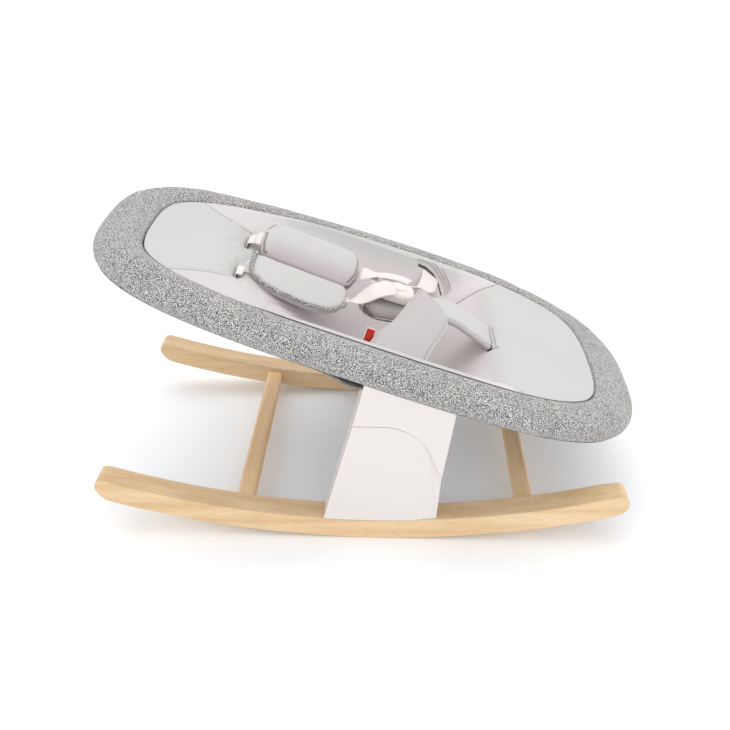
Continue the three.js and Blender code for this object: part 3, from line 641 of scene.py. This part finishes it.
# ---- the padded ring
RING = {
    "centre_u": 60, "head_end": -366, "foot_end": 371, "half_width": 206, "side_band": 41, "end_band": 59,
    "foot_band": 63, "roll_radius": 18, "roll_drop": 19, "head_crown": 9, "skin": 3.4,
}


# The edge is worked out at this many places, and its direction over this many millimetres each way.
EDGE_SAMPLES = 5761
TANGENT_REACH = 12


def ring_stations(count):
    """Evenly spaced edge points around the ring, with their outward directions and band widths."""
    angle = np.linspace(0, 2 * math.pi, EDGE_SAMPLES)
    c, s = np.cos(angle), np.sin(angle)
    power = np.where(c > 0, 2.85, 3.0)
    reach = np.where(c > 0, RING["foot_end"] - RING["centre_u"], RING["centre_u"] - RING["head_end"])
    along = np.abs(c) ** (2 / power)
    across = np.abs(s) ** (2 / power) * (1 - np.where(c > 0, 0, 0.05) * along)
    u = RING["centre_u"] + np.sign(c) * along * reach
    dense = np.stack([u, np.sign(s) * across * RING["half_width"]], 1)
    length = np.concatenate([[0], np.cumsum(np.linalg.norm(np.diff(dense, axis=0), axis=1))])
    wanted = np.linspace(0, length[-1], count, endpoint=False)

    def at(places):
        places = places % length[-1]
        return np.stack([np.interp(places, length, dense[:, k]) for k in (0, 1)], 1)

    edge = at(wanted)
    tangent = unit(at(wanted + TANGENT_REACH) - at(wanted - TANGENT_REACH))
    out = np.stack([tangent[:, 1], -tangent[:, 0]], 1)
    end_band = np.where(out[:, 0] > 0, RING["foot_band"], RING["end_band"])
    band = RING["side_band"] + (end_band - RING["side_band"]) * out[:, 0] ** 2
    return edge, out, band


def edge_height(u):
    return 5 - 8 * ((u - 75) / 330) ** 2


def ring_points(stations, inward, height):
    """Seat points for arrays [station, section point] of inward and height."""
    edge, out, _ = stations
    u = edge[:, None, 0] - out[:, None, 0] * inward
    y = edge[:, None, 1] - out[:, None, 1] * inward
    return np.stack([u, y, edge_height(u) + height], -1)


def zip_turn(out):
    """How far under the roll the zip runs, in degrees below level: lowest along the two long sides."""
    return 68 - 20 * smoothstep(np.abs(out[:, 0]), 0.1, 0.55)


def cover_profile(band, lowest):
    """The outside of the cover's section for each station, from the zip over the roll to the inner edge."""
    radius, drop = RING["roll_radius"], RING["roll_drop"]
    corner = 5  # rounding of the inner edge
    share = np.linspace(0, 1, 28)
    turns = np.radians(-lowest[:, None] + (90 + lowest[:, None]) * share)
    inward = radius - radius * np.cos(turns)
    height = -drop + radius * np.sin(turns)
    share = np.linspace(0, 1, 19)[1:]
    top_inward = radius + share * (band[:, None] - corner - radius)
    top_height = np.broadcast_to(-1 + 1.8 * share + 2.0 * np.sin(math.pi * share), top_inward.shape)
    fall = np.radians(np.linspace(15, 90, 6))
    edge_inward = band[:, None] - corner + corner * np.sin(fall)
    edge_drop = np.broadcast_to(0.8 - 7 * (1 - np.cos(fall)), edge_inward.shape)
    tuck_inward = np.broadcast_to(band[:, None], (len(band), 2))
    tuck = np.broadcast_to([-8.2, -10.5], tuck_inward.shape)
    return (
        np.concatenate([inward, top_inward, edge_inward, tuck_inward], 1),
        np.concatenate([height, top_height, edge_drop, tuck], 1),
    )


def crown_at(edge):
    return RING["head_crown"] * smoothstep(-edge[:, 0], 100, 340)


COVER_SEAMS = [[(-325, 185), (-314, 150), (-288, 112)], [(215, 145), (226, 175), (242, 215)]]


def make_ring_cover():
    stations = ring_stations(900)
    edge, out, band = stations
    inward, height = cover_profile(band, zip_turn(out) - 1)
    near_roll = 1 - np.abs(inward - RING["roll_radius"]) / (band[:, None] - RING["roll_radius"])
    above = np.clip((height + RING["roll_drop"]) / RING["roll_radius"], 0, 1)
    height = height + crown_at(edge)[:, None] * np.maximum(near_roll, 0) * above

    turn = np.arctan2(out[:, 1], out[:, 0])[:, None]
    puff = 0.5 * np.sin(9 * turn + 1.0) + 0.35 * np.sin(23 * turn) * np.sin(inward / 9)
    puff = puff + 0.25 * np.sin(41 * turn)
    height = height + puff * smoothstep(height, -30, -4) * smoothstep(band[:, None] - inward, 1, 14) * 0.8

    places = ring_points(stations, inward, height)
    seam = np.full(inward.shape, 1e9)
    for line in COVER_SEAMS:
        seam = np.minimum(seam, distance_to_line(places[..., 0], np.abs(places[..., 1]), line))
    outside = np.stack([inward, height], -1)
    normal = unit(np.stack([np.gradient(height, axis=1), -np.gradient(inward, axis=1)], -1))
    outside = outside + normal * (0.9 * bell(seam, 3))[..., None]
    inside = (outside + normal * RING["skin"])[:, ::-1]
    section = np.concatenate([outside, inside], 1)
    points = ring_points(stations, section[..., 0], section[..., 1]).reshape(-1, 3)
    faces = grid_faces(len(edge), section.shape[1], close_rows=True, close_columns=True)
    cover = make_piece("ring_cover_knit", (points, faces), "knit", ["ring_cover"])
    nearness = np.clip(1 - seam / 10, 0, 1)
    set_attribute(cover, "seam", np.concatenate([nearness, nearness[:, ::-1]], 1))


ZIP_STATIONS = 2400


def make_zip():
    """The coil zip under the roll, its teeth as small ridges along it."""
    stations = ring_stations(ZIP_STATIONS)
    radius, drop = RING["roll_radius"], RING["roll_drop"]
    middle = zip_turn(stations[1])
    ridge = np.where(np.arange(ZIP_STATIONS) % 3 == 0, 0.6, 0.0)
    section = ((-1, -0.4, 0), (2, 0.2, 1), (5, 0.4, 1), (8, 0.2, 1), (11, -0.4, 0), (5, -2.5, 0))
    inward, height = [], []
    for degrees, level, toothed in section:
        turn = np.radians(middle + degrees)
        out = radius + level + ridge * toothed
        inward.append(radius - out * np.cos(turn))
        height.append(-drop - out * np.sin(turn))
    points = ring_points(stations, np.stack(inward, 1), np.stack(height, 1)).reshape(-1, 3)
    faces = grid_faces(ZIP_STATIONS, len(section), close_rows=True, close_columns=True)
    make_piece("cover_zip_coil", (points, faces), "zip", ["cover_zip"])


# ---- the seat pad and the cover under it
BUCKET = {"bottom_u": 60, "depth": 92, "head_reach": 285, "foot_reach": 108, "half_width": 152}
DISH = 6
PAD_THICKNESS = 12
SLING_RIM = 34.2


def rim_share(u, y):
    """How far out a point lies, from 0 at the pad's middle to 1 at its rim."""
    edge, out, band = ring_stations(720)
    rim = edge - out * band[:, None] - [RING["centre_u"], 0]
    turn = np.arctan2(rim[:, 1], rim[:, 0])
    reach = np.hypot(rim[:, 0], rim[:, 1])
    here = np.arctan2(y, u - RING["centre_u"])
    return np.minimum(np.hypot(u - RING["centre_u"], y) / np.interp(here, turn, reach, period=2 * math.pi), 1)


def softened(depth, width):
    """The depth where it is positive and nothing elsewhere, with a rounded corner between them."""
    return (depth + np.sqrt(depth ** 2 + width ** 2)) / 2


def bucket_depth(u):
    offset = u - BUCKET["bottom_u"]
    turn = np.clip(math.pi / 2 * offset / BUCKET["head_reach"], -math.pi / 2, 0)
    head = BUCKET["depth"] * np.cos(turn) ** 2
    foot = BUCKET["depth"] * (1 - np.maximum(offset / BUCKET["foot_reach"], 0) ** 2.2)
    return np.where(offset < 0, head, softened(foot, 20))


def pad_depth(u, y):
    wall = np.minimum(np.abs(y) / BUCKET["half_width"], 1)
    return 1 + DISH * (1 - rim_share(u, y) ** 3) + bucket_depth(u) * (1 - wall ** 3)


def sling_depth(u, y):
    wall = np.minimum(np.abs(y) / (BUCKET["half_width"] + 6), 1)
    stretched = BUCKET["bottom_u"] + (u - BUCKET["bottom_u"]) * 0.88
    slack = 8 * bell(u + 14, 26) * smoothstep(np.abs(y), 140, 182)
    return SLING_RIM + slack + np.maximum(0, (bucket_depth(stretched) + DISH) * (1 - wall ** 3) - 16)


def distance_to_line(u, y, line):
    """Distance of each point (u, y) from a polyline."""
    nearest = np.full(u.shape, 1e9)
    for (au, ay), (bu, by) in zip(line[:-1], line[1:]):
        du, dy = bu - au, by - ay
        t = np.clip(((u - au) * du + (y - ay) * dy) / (du * du + dy * dy), 0, 1)
        nearest = np.minimum(nearest, np.hypot(u - au - t * du, y - ay - t * dy))
    return nearest


# Seams of the pad, the same on both sides: lines of (u, distance from the middle).
HEAD_SEAM = [(-288, 138), (-262, 117), (-238, 99), (-215, 87), (-195, 80), (-176, 74)]
FOOT_SEAM = [(128, 115), (150, 128), (171, 142), (192, 160)]
PAD_FOLD = [(-135, 82), (-106, 51), (-83, 37)]
LEFT_SLOT = [(62, 149.5), (74, 149), (88, 146), (100, 139), (108, 130)]

# The straight slots: two for the shoulder straps, this far from the middle, and one for the crotch strap.
SHOULDER_SLOT_U = -184
SHOULDER_SLOT_Y = 50
CROTCH_SLOT_U = 166
SHOULDER_TUCKS = [(64, 5, 11), (36, 4.5, 10), (50, 5, 9)]  # side place, depth and radius


def pad_relief(u, y):
    """How far seams, tucks and the side slots move the pad's surface, up being positive."""
    side = np.abs(y)
    relief = np.zeros(u.shape)
    for line in (HEAD_SEAM, FOOT_SEAM):
        away = distance_to_line(u, side, line)
        relief += 1.6 * bell(away - 8, 7) - 1.6 * bell(away, 3)
    relief -= 3.5 * bell(distance_to_line(u, side, PAD_FOLD), 3.5)
    from_rim = 1 - rim_share(u, y)
    relief *= smoothstep(from_rim, 0.01, 0.09)
    relief += 2.5 * bell(from_rim - 0.035, 0.03) * (1 - smoothstep(np.abs(u), 120, 230))
    relief -= 3 * bell(distance_to_line(u, y, LEFT_SLOT), 3)
    from_slot = u - SHOULDER_SLOT_U
    for tuck_y, depth, radius in SHOULDER_TUCKS:
        relief -= depth * np.exp(-(from_slot ** 2 + (side - tuck_y) ** 2) / radius ** 2)
    angle = np.arctan2(side - SHOULDER_SLOT_Y, from_slot)
    reach = np.hypot(side - SHOULDER_SLOT_Y, from_slot)
    relief += 0.9 * np.sin(9 * angle) * bell(reach - 26, 12)
    slit = bell(from_slot, 2.6) * (smoothstep(side, 33, 37) - smoothstep(side, 63, 67))
    relief -= 7 * slit
    relief -= 6 * bell(u - CROTCH_SLOT_U, 3.2) * (1 - smoothstep(side, 30, 34))
    return relief


def pad_painted_light(u, y):
    """Where the pad gets its painted bounce light, lighter and mauve: 1 on the bucket's walls and deep
    middle, 0 on the head and foot panels.
    """
    side = np.abs(y)
    head = smoothstep(side - np.interp(u, *zip(*HEAD_SEAM)), -2, 2) * (1 - smoothstep(u, -170, -120))
    foot = smoothstep(side - np.interp(u, *zip(*FOOT_SEAM)), -2, 2) * smoothstep(u, 120, 135)
    deep = smoothstep(pad_depth(u, y), 8, 30)
    return np.maximum(np.maximum(0.5 * head, foot), deep)


def slot_distance(u, y):
    """Distance from the middle line of the nearest slot in the pad; the curved one is half as wide."""
    side = np.abs(y)
    shoulder = distance_to_line(u, side, [(SHOULDER_SLOT_U, 38), (SHOULDER_SLOT_U, 62)])
    crotch = distance_to_line(u, side, [(CROTCH_SLOT_U, 0), (CROTCH_SLOT_U, 29)])
    left = 2 * distance_to_line(u, y, LEFT_SLOT)
    return np.minimum(np.minimum(shoulder, crotch), left)


def pad_surface(u, y):
    return edge_height(u) - pad_depth(u, y)


def bowl(stations, inward, depth_at, thickness, shares):
    """A closed shell from the boundary around the ring to the middle, as points and faces."""
    edge, out, _ = stations
    rim = edge - out * inward[:, None]
    centre = np.array([RING["centre_u"], 0.0])
    plan = centre + (rim - centre)[None] * shares[:, None, None]
    u, y = plan[..., 0], plan[..., 1]
    top = edge_height(u) - depth_at(u, y)
    drop = np.broadcast_to(np.asarray(thickness, float).reshape(-1, 1), top.shape)
    upper = np.stack([u, y, top], -1).reshape(-1, 3)
    lower = np.stack([u, y, top - drop], -1).reshape(-1, 3)
    rows, columns = u.shape
    count = rows * columns
    faces = grid_faces(rows, columns, close_columns=True)
    faces += [face[::-1] for face in grid_faces(rows, columns, close_columns=True, start=count)]
    faces.append(tuple(range(columns - 1, -1, -1)))
    faces.append(tuple(range(count, count + columns)))
    upper_rim = (rows - 1) * columns
    lower_rim = upper_rim + count
    for k in range(columns):
        following = (k + 1) % columns
        faces.append((upper_rim + following, upper_rim + k, lower_rim + k, lower_rim + following))
    return np.vstack([upper, lower]), faces


def make_pad():
    stations = ring_stations(840)
    shares = np.concatenate([np.linspace(0.01, 0.9, 160), np.linspace(0.905, 1.0, 22)])
    band = stations[2]

    def depth_at(u, y):
        return pad_depth(u, y) - pad_relief(u, y)

    rim = np.interp(shares, [0, 0.97, 1], [PAD_THICKNESS, PAD_THICKNESS, 6])
    points, faces = bowl(stations, band + 1.2, depth_at, rim, shares)
    pad = make_piece("seat_pad_cloth", (points, faces), "pad", ["seat_pad"])
    u, y = points[:, 0], points[:, 1]
    side = np.abs(y)
    away = np.minimum(distance_to_line(u, side, HEAD_SEAM), distance_to_line(u, side, FOOT_SEAM))
    set_attribute(pad, "seam", np.clip(1 - away / 10, 0, 1))
    # Painted bounce light on the bucket's walls and deep middle.
    set_attribute(pad, "wall", pad_painted_light(u, y))
    # Painted shade over the slot openings, near 1 along each slot's middle line.
    set_attribute(pad, "slot", np.clip(1.16 - slot_distance(u, y) / 10, 0, 1))


def make_under_cover():
    edge, out, band = ring_stations(360)
    shares = np.concatenate([np.linspace(0.01, 0.9, 60), np.linspace(0.91, 1.0, 10)])
    inward, thickness = 11.8, 2.5
    shape = bowl(
        (edge, out, band), np.full(len(edge), inward), sling_depth, np.full(len(shares), thickness), shares,
    )
    make_piece("under_cover_knit", shape, "under_knit", ["under_cover"])


# ---- harness
# Each shoulder pad has its own plane, leaning over sideways by roll and falling towards the foot end,
# and two edges given as (along, across) places in it.
SHOULDER_PADS = {
    "right": {
        "middle": (-104, -36, -7), "roll": 0.314, "fall": 0.109,
        "thickness": 17, "seam_height": -2, "crown": 0,
        "inner": [(-66, 4), (-65.5, 17), (-61, 25), (-30, 28), (5, 31), (54, 35), (63, 33), (67, 24),
                  (67, 12)],
        "outer": [(-66, 4), (-64, -7), (-57, -17), (-46, -24), (-28, -28), (0, -29), (25, -27), (44, -22),
                  (57, -12), (64, -1), (67, 12)],
    },
    "left": {
        "middle": (-99, 30, 10), "roll": 0.36, "fall": 0.05,
        "thickness": 19, "seam_height": -9.5, "crown": 9,
        "inner": [(-66, 5), (-65.5, -14), (-62, -28), (-50, -33), (0, -34), (50, -34), (60, -30), (66, -14),
                  (67, 5)],
        "outer": [(-66, 5), (-64, 18), (-58, 28), (-48, 33), (0, 34.5), (48, 34), (60, 30), (66, 18),
                  (67, 5)],
    },
}


def shoulder_plane(side):
    place = SHOULDER_PADS[side]
    along = unit(np.array([1.0, 0.0, -place["fall"]]))
    across = np.array([0.0, math.cos(place["roll"]), math.sin(place["roll"])])
    return np.asarray(place["middle"], float), along, across, np.cross(along, across)


def shoulder_place(side, along_places, across_places, height):
    middle, along, across, up = shoulder_plane(side)
    flat = np.multiply.outer(along_places, along) + np.multiply.outer(across_places, across)
    return middle + flat + up * height


def edge_across(edge, along):
    """Where the edge lies across the pad, at each place along it."""
    line = spline(edge, 240)
    return np.interp(along, np.maximum.accumulate(line[:, 0]), line[:, 1])


def make_shoulder_pad(side):
    place = SHOULDER_PADS[side]
    first, last = place["inner"][0][0], place["inner"][-1][0]
    a = -np.cos(np.linspace(0, math.pi, 54))
    b = eased(30)
    along = (first + last) / 2 + a * (last - first) / 2
    inner, outer = edge_across(place["inner"], along), edge_across(place["outer"], along)
    centre, reach = (inner + outer) / 2, (inner - outer) / 2
    across = centre[:, None] + b[None] * reach[:, None]
    thickness = place["thickness"]
    grid = shoulder_place(side, np.broadcast_to(along[:, None], across.shape), across, -thickness / 2)
    dome = place["crown"] * (1 - a[:, None] ** 8) * (1 - b[None] ** 2)
    grid = grid + dome[..., None] * shoulder_plane(side)[3]
    swell = rounded_off(a[:, None], 14) * rounded_off(b[None], 9)
    shape = thick_sheet(grid, np.maximum(thickness * swell, 0.4))
    pad = make_piece(f"{side}_shoulder_pad_cloth", shape, "shoulder", [f"{side}_shoulder_pad"])

    seam_height = place["seam_height"]
    seam_share = 0.96  # of the way from the pad's middle line to its edges
    rims = [
        shoulder_place(side, along, centre + sign * seam_share * reach, seam_height) for sign in (1, -1)
    ]
    inflate(pad, np.vstack(rims))
    middle, lengthways, sideways, up = shoulder_plane(side)
    places = row_to_seat(vertex_places(pad.data) / MM) - middle
    # Painted shade: below the seam the pad's own mauve lower layer is made darker, and on the far pad the
    # roll's lower inner side is darkened as well.
    below = 1 - smoothstep(places @ up, seam_height - 3, seam_height + 1)
    rolled = smoothstep(-places @ sideways, -4, 30) if place["crown"] else 0
    set_attribute(pad, "wall", np.maximum(below, rolled))
    if place["crown"]:
        outline = place["inner"] + place["outer"][-2:0:-1]
        inset = distance_to_line(places @ lengthways, places @ sideways, outline)
        ends = smoothstep(np.abs(places @ lengthways), 50, 56)
        set_attribute(pad, "seam", np.clip(1.04 - np.abs(inset - 2.2) / 10, 0, 1) * ends)
    return rims


def make_bindings(right_rims, left_rims):
    """Knit tape along the near pad's outer edge and head end, and a thin dark cord around the far pad."""
    inner, outer = right_rims
    head_end = inner[:6][::-1]
    shape = tube(spline(np.vstack([head_end[::2], outer[3:-4:2]]), 160), 2.9, 10)
    make_piece("right_shoulder_pad_binding", shape, "knit")
    inner, outer = left_rims
    loop = np.vstack([outer[1:-1], inner[::-1]])
    shape = tube(loop, 1.1, 8, closed=True)
    make_piece("left_shoulder_pad_cord", shape, "under_knit")


def make_ribbon(name, stations, thickness, nodes, material="strap", samples=60):
    """Flat webbing through stations of (middle, sideways direction, half width)."""
    middle = spline([s[0] for s in stations], samples)
    across = unit(spline([s[1] for s in stations], samples))
    half = spline([[s[2]] for s in stations], samples)
    b = np.linspace(-1, 1, 9)  # nine points across the webbing
    grid = middle[:, None] + across[:, None] * (b[None, :, None] * half[:, None])
    edge = np.maximum(rounded_off(b, 10), 0.35)
    shape = thick_sheet(grid, np.broadcast_to(thickness * edge, (samples, len(b))))
    strap = make_piece(name, shape, material, nodes)
    length = np.concatenate([[0], np.cumsum(np.linalg.norm(np.diff(middle, axis=0), axis=1))])
    along = np.broadcast_to(length[:, None], (samples, len(b))).ravel()
    sideways = (b[None] * half).ravel()
    coordinates = np.stack([along, sideways, np.zeros(len(along))], 1)
    attribute = strap.data.attributes.new("along_across", "FLOAT_VECTOR", "POINT")
    attribute.data.foreach_set("vector", np.vstack([coordinates, coordinates]).astype(np.float32).ravel())
    return strap


def make_shoulder_straps():
    """Both straps come out of their slots, run through their pads and end in the buckle."""
    flat = {side: shoulder_plane(side)[2] for side in SHOULDER_PADS}
    through = {
        side: [shoulder_place(side, *place, -SHOULDER_PADS[side]["thickness"] / 2) for place in places]
        for side, places in (("right", [(-64, 2), (0, 6), (62, 10)]), ("left", [(-64, 2), (0, 0), (62, -4)]))
    }
    make_ribbon("right_shoulder_webbing", [
        ((-184, -50, -20), (0, 1, 0), 12.5),
        ((-183.5, -50, -9), (0, 1, 0), 12.5),
        ((-177, -48, -8), (0, 1, 0.1), 12.5),
        *((place, flat["right"], 12.5) for place in through["right"]),
        ((-34, -24, -14), (0.1, 0.88, -0.3), 12.5),
        ((-23, -25, -6), (-0.1, 0.95, 0.1), 12.5),
        ((-13, -28, 6.5), (-0.2, 0.82, 0.5), 12.5),
        ((-4, -27, 14.5), (-0.15, 0.82, 0.52), 12.5),
        ((8, -22, 19), (-0.1, 0.9, 0.4), 12.5),
        ((20, -18, 18), (0, 1, 0.1), 11),
    ], 1.5, ["right_shoulder_strap"], samples=110)
    make_ribbon("left_shoulder_webbing", [
        ((-184, 50, -20), (0, 1, 0), 12.5),
        ((-183.5, 50, -9), (0, 1, 0), 12.5),
        ((-177, 49, -4), (0, 1, 0.15), 12.5),
        *((place, flat["left"], 12.5) for place in through["left"]),
        ((-24, 26, 7), (0, 0.92, 0.3), 12.5),
        ((-8, 22, 13.5), (0, 0.95, -0.15), 12.5),
        ((8, 22, 17.5), (0.1, 1, -0.1), 12.5),
        ((24, 24, 18.5), (0.25, 1, -0.1), 12.5),
        ((40, 27, 16), (0.4, 1, -0.1), 12.5),
    ], 1.5, ["left_shoulder_strap"], samples=110)


def make_buckle():
    low, high = np.array([-2, -22, 0.0]), np.array([48, 22, 16.0])
    middle = (low + high) / 2
    half_length, half_width, _ = (high - low) / 2
    grid, a, b = level_patch(middle, half_length, half_width, power=4, rows=36, columns=28)
    thick = (high - low)[2] * rounded_off(a, 7, 0.45) * rounded_off(b, 7, 0.45)
    shape = thick_sheet(grid, np.maximum(thick, 0.5))
    make_piece("buckle_shell", shape, "buckle", ["buckle_body"])
    button_u, radius = 24, 11
    disc, _, _ = level_patch((button_u, 0, 16.6), radius, radius, power=2, rows=24, columns=24)
    reach = np.clip(np.hypot(disc[..., 0] - button_u, disc[..., 1]) / radius, 0, 1)
    shape = thick_sheet(disc, np.maximum(4.5 * rounded_off(reach, 6), 0.3))
    make_piece("buckle_press_button", shape, "buckle", ["buckle_button"], "buckle_button")


def make_waist_straps():
    """The left strap crosses to the buckle in the open; the right one runs low, under the raised flap."""
    make_ribbon("left_waist_webbing", [
        ((84, 153, -24), (0.965, 0, -0.26), 14),
        ((84, 147, -12), (0.965, 0, -0.26), 14),
        ((84, 133, -19), (0.96, -0.1, -0.2), 14),
        ((79, 110, -20), (0.95, 0, -0.1), 13.5),
        ((66, 74, -11), (0.93, 0.3, 0), 13),
        ((48, 42, 5), (0.9, 0.4, 0), 12.5),
        ((34, 24, 11), (1, 0.2, 0), 12.5),
    ], 1.5, ["left_waist_strap"])
    make_ribbon("right_waist_webbing", [
        ((90, -145.5, -34), (1, 0, 0), 12.5),
        ((86, -141, -29), (1, -0.1, 0), 12.5),
        ((66, -112, -24), (0.95, -0.3, 0.1), 12.5),
        ((56, -64, -10), (0.95, -0.3, 0.1), 12.5),
        ((48, -22, 7), (1, -0.1, 0), 10),
    ], 1.5, ["right_waist_strap"])


def edge_rim(grid):
    return np.vstack([grid[:, 0], grid[-1, 1:], grid[::-1, -1][1:], grid[0, ::-1][1:-1]])


def stitch(piece, rim, inset):
    """Draws a stitched line on a piece at the given distance from its rim, given as seat points."""
    places = row_to_seat(vertex_places(piece.data) / MM)
    away = np.concatenate([
        np.linalg.norm(part[:, None] - rim[None], axis=2).min(1) for part in np.array_split(places, 20)
    ])
    set_attribute(piece, "seam", np.clip(0.95 - np.abs(away - inset) / 10, 0, 1))


# The near side's hip flap: its edges towards the head end and the foot end, from the wall to its tip.
FLAP_HEAD_EDGE = [
    (-9, -152, -8), (-6, -141, -3), (2, -123, 5), (15, -104, 13),
    (24, -85, 20), (33, -60, 27), (41, -40, 31), (47, -25, 33),
]
FLAP_FOOT_EDGE = [
    (64, -151, -14), (67, -136, -9), (72, -116, -1), (81, -92, 7),
    (89, -67, 15), (83, -47, 22), (64, -33, 29.5), (52, -24, 33),
]
FLAP_THICKNESS = 6


def make_right_flap():
    count = 64
    head, foot = spline(FLAP_HEAD_EDGE, count), spline(FLAP_FOOT_EDGE, count)
    b = eased(28)
    share = (1 + b[None, :, None]) / 2
    grid = foot[:, None] * (1 - share) + head[:, None] * share
    width = np.linalg.norm(head - foot, axis=1)
    bulge = 0.06 * width[:, None] * (1 - b[None] ** 2)
    grid = grid + bulge[..., None] * unit(np.array([0.1, -0.5, 1.0]))
    a = np.linspace(-1, 1, count)[:, None]
    swell = rounded_off(b[None], 6) * rounded_off(np.maximum(a, 0), 14)
    shape = thick_sheet(grid, np.maximum(FLAP_THICKNESS * swell, 1.2))
    flap = make_piece("right_hip_flap_cloth", shape, "flap", ["right_hip_flap"])
    stitch(flap, edge_rim(grid), 4.5)
    shape = tube(np.vstack([foot[3:], head[-2:-6:-1]]), 1.4, 8)
    make_piece("right_hip_flap_piping", shape, "pad")


LEFT_LIP = [(58, 151), (62, 152.5), (74, 152.5), (89, 149), (101, 143), (110, 136), (114, 128)]
LEFT_FOLDS = [(0, 0), (3.5, 22), (7, 32)]  # how far aside each fold lies, and the lip's point it starts at


def make_left_slot_lip():
    """The far side's hip flap, folded flat on the wall: a lip over the slot and shorter folds beside it."""
    for k, (aside, first) in enumerate(LEFT_FOLDS):
        u, y = spline(LEFT_LIP, 60)[first:].T + [[0.8 * aside], [0.5 * aside]]
        radius = 1.6 * np.sin(np.linspace(0.2, math.pi - 0.2, len(u))) ** 0.5
        shape = tube(np.stack([u, y, pad_surface(u, y) + 0.6], 1), radius, 12)
        nodes = [] if k else ["left_hip_flap"]
        make_piece(f"left_hip_flap_fold_{k + 1}", shape, "flap", nodes)


CROTCH_LINE = [(165, -17), (157, -12), (130, -3), (103, 4), (70, -1), (35, -13), (5, -19), (-9, -20)]
CROTCH_HALF = [30, 30.5, 31, 30, 29, 27, 23, 10]
CROTCH_THICKNESS = [13, 13, 13, 13.5, 15.5, 18.5, 20, 18]
CROTCH_WELTS = [168.5, 173]


def make_crotch():
    count = 70
    middle = spline([(u, 0, v) for u, v in CROTCH_LINE], count)
    half = spline([[half] for half in CROTCH_HALF], count)
    b = eased(30)
    grid = middle[:, None] + (half * b[None])[..., None] * np.array([0.0, -1.0, 0.0])
    a = np.linspace(0, 1, count)[:, None]
    swell = rounded_off(b[None], 8) * rounded_off(a, 16)
    thickness = spline([[thick] for thick in CROTCH_THICKNESS], count)
    shape = thick_sheet(grid, np.maximum(thickness * swell, 1.0))
    pad = make_piece("crotch_pad_cloth", shape, "shoulder", ["crotch_pad"])
    rim = edge_rim(grid)
    inflate(pad, rim)
    stitch(pad, rim, 5)
    places = row_to_seat(vertex_places(pad.data) / MM)
    level = np.interp(-places[:, 0], [-u for u, _ in CROTCH_LINE], [v for _, v in CROTCH_LINE])
    # Painted shade: the crotch pad's side below its middle line takes the darker wall colour.
    set_attribute(pad, "wall", 1 - smoothstep(places[:, 2] - level, -2, 5))

    lower = np.concatenate([grid[44:, 0], grid[-1, 1:-1], grid[:43:-1, -1]])
    lower[:, 2] -= np.interp(-lower[:, 0], [-u for u, _ in CROTCH_LINE], CROTCH_THICKNESS) * 0.42
    shape = tube(spline(lower[::3], 160), 1.2, 8)
    make_piece("crotch_pad_cord", shape, "under_knit")

    for k, u in enumerate(CROTCH_WELTS):
        y = np.linspace(-33, 29, 30)
        u = np.full(len(y), u)
        shape = tube(np.stack([u, y, pad_surface(u, y) + 0.5], 1), 1.6, 10)
        make_piece(f"crotch_slot_welt_{k + 1}", shape, "pad")
    path = [(167, -38), (166, -28)]
    path += [(u, v - thick / 2 - 2) for (u, v), thick in zip(CROTCH_LINE[1:], CROTCH_THICKNESS[1:])]
    path += [(-18, -24), (-20, -13), (-13, -5), (4, -2)]
    stations = [((u, 0, v), (0, -1, 0), 12.5) for u, v in path]
    make_ribbon("crotch_webbing", stations, 1.5, ["crotch_strap"], samples=120)


def make_label():
    path = [(-8, -132, -14), (-8, -130.5, -2), (-8, -129, 10)]
    stations = [(place, (1, 0, 0), 6) for place in path]
    make_ribbon("side_label_edge", stations, 0.8, [], "label_edge", 20)
    inner = [(u, y - 0.6, v) for u, y, v in ((-8, -132, -14), (-8, -130.5, -2), (-8, -129.1, 9))]
    stations = [(place, (1, 0, 0), 5) for place in inner]
    make_ribbon("side_label_tag", stations, 0.8, ["side_label"], "label", 20)


# ---- the object
def finish_cad_nodes():
    """Gives each CAD node the material named like its slot; the wood left in sight there runs across."""
    slots = {entry["node"]: entry["material_slot"] for entry in frame["record"]["subparts"]}
    for name, node in frame["nodes"].items():
        slot = slots[name]
        node.data.materials.clear()
        node.data.materials.append(MATERIALS["beech_cross_painted_light" if slot == "beech" else slot])
        if name in ("left_upper_shell_outer", "right_upper_shell_outer"):
            round_edges(node, 0.9, 3)


make_camera()
make_stage()
finish_cad_nodes()
make_rockers()
make_rails()
make_ring_cover()
make_zip()
make_pad()
make_under_cover()
make_bindings(make_shoulder_pad("right"), make_shoulder_pad("left"))
make_shoulder_straps()
make_buckle()
make_waist_straps()
make_right_flap()
make_left_slot_lip()
make_crotch()
make_label()

bpy.context.scene.view_settings.view_transform = "Standard"
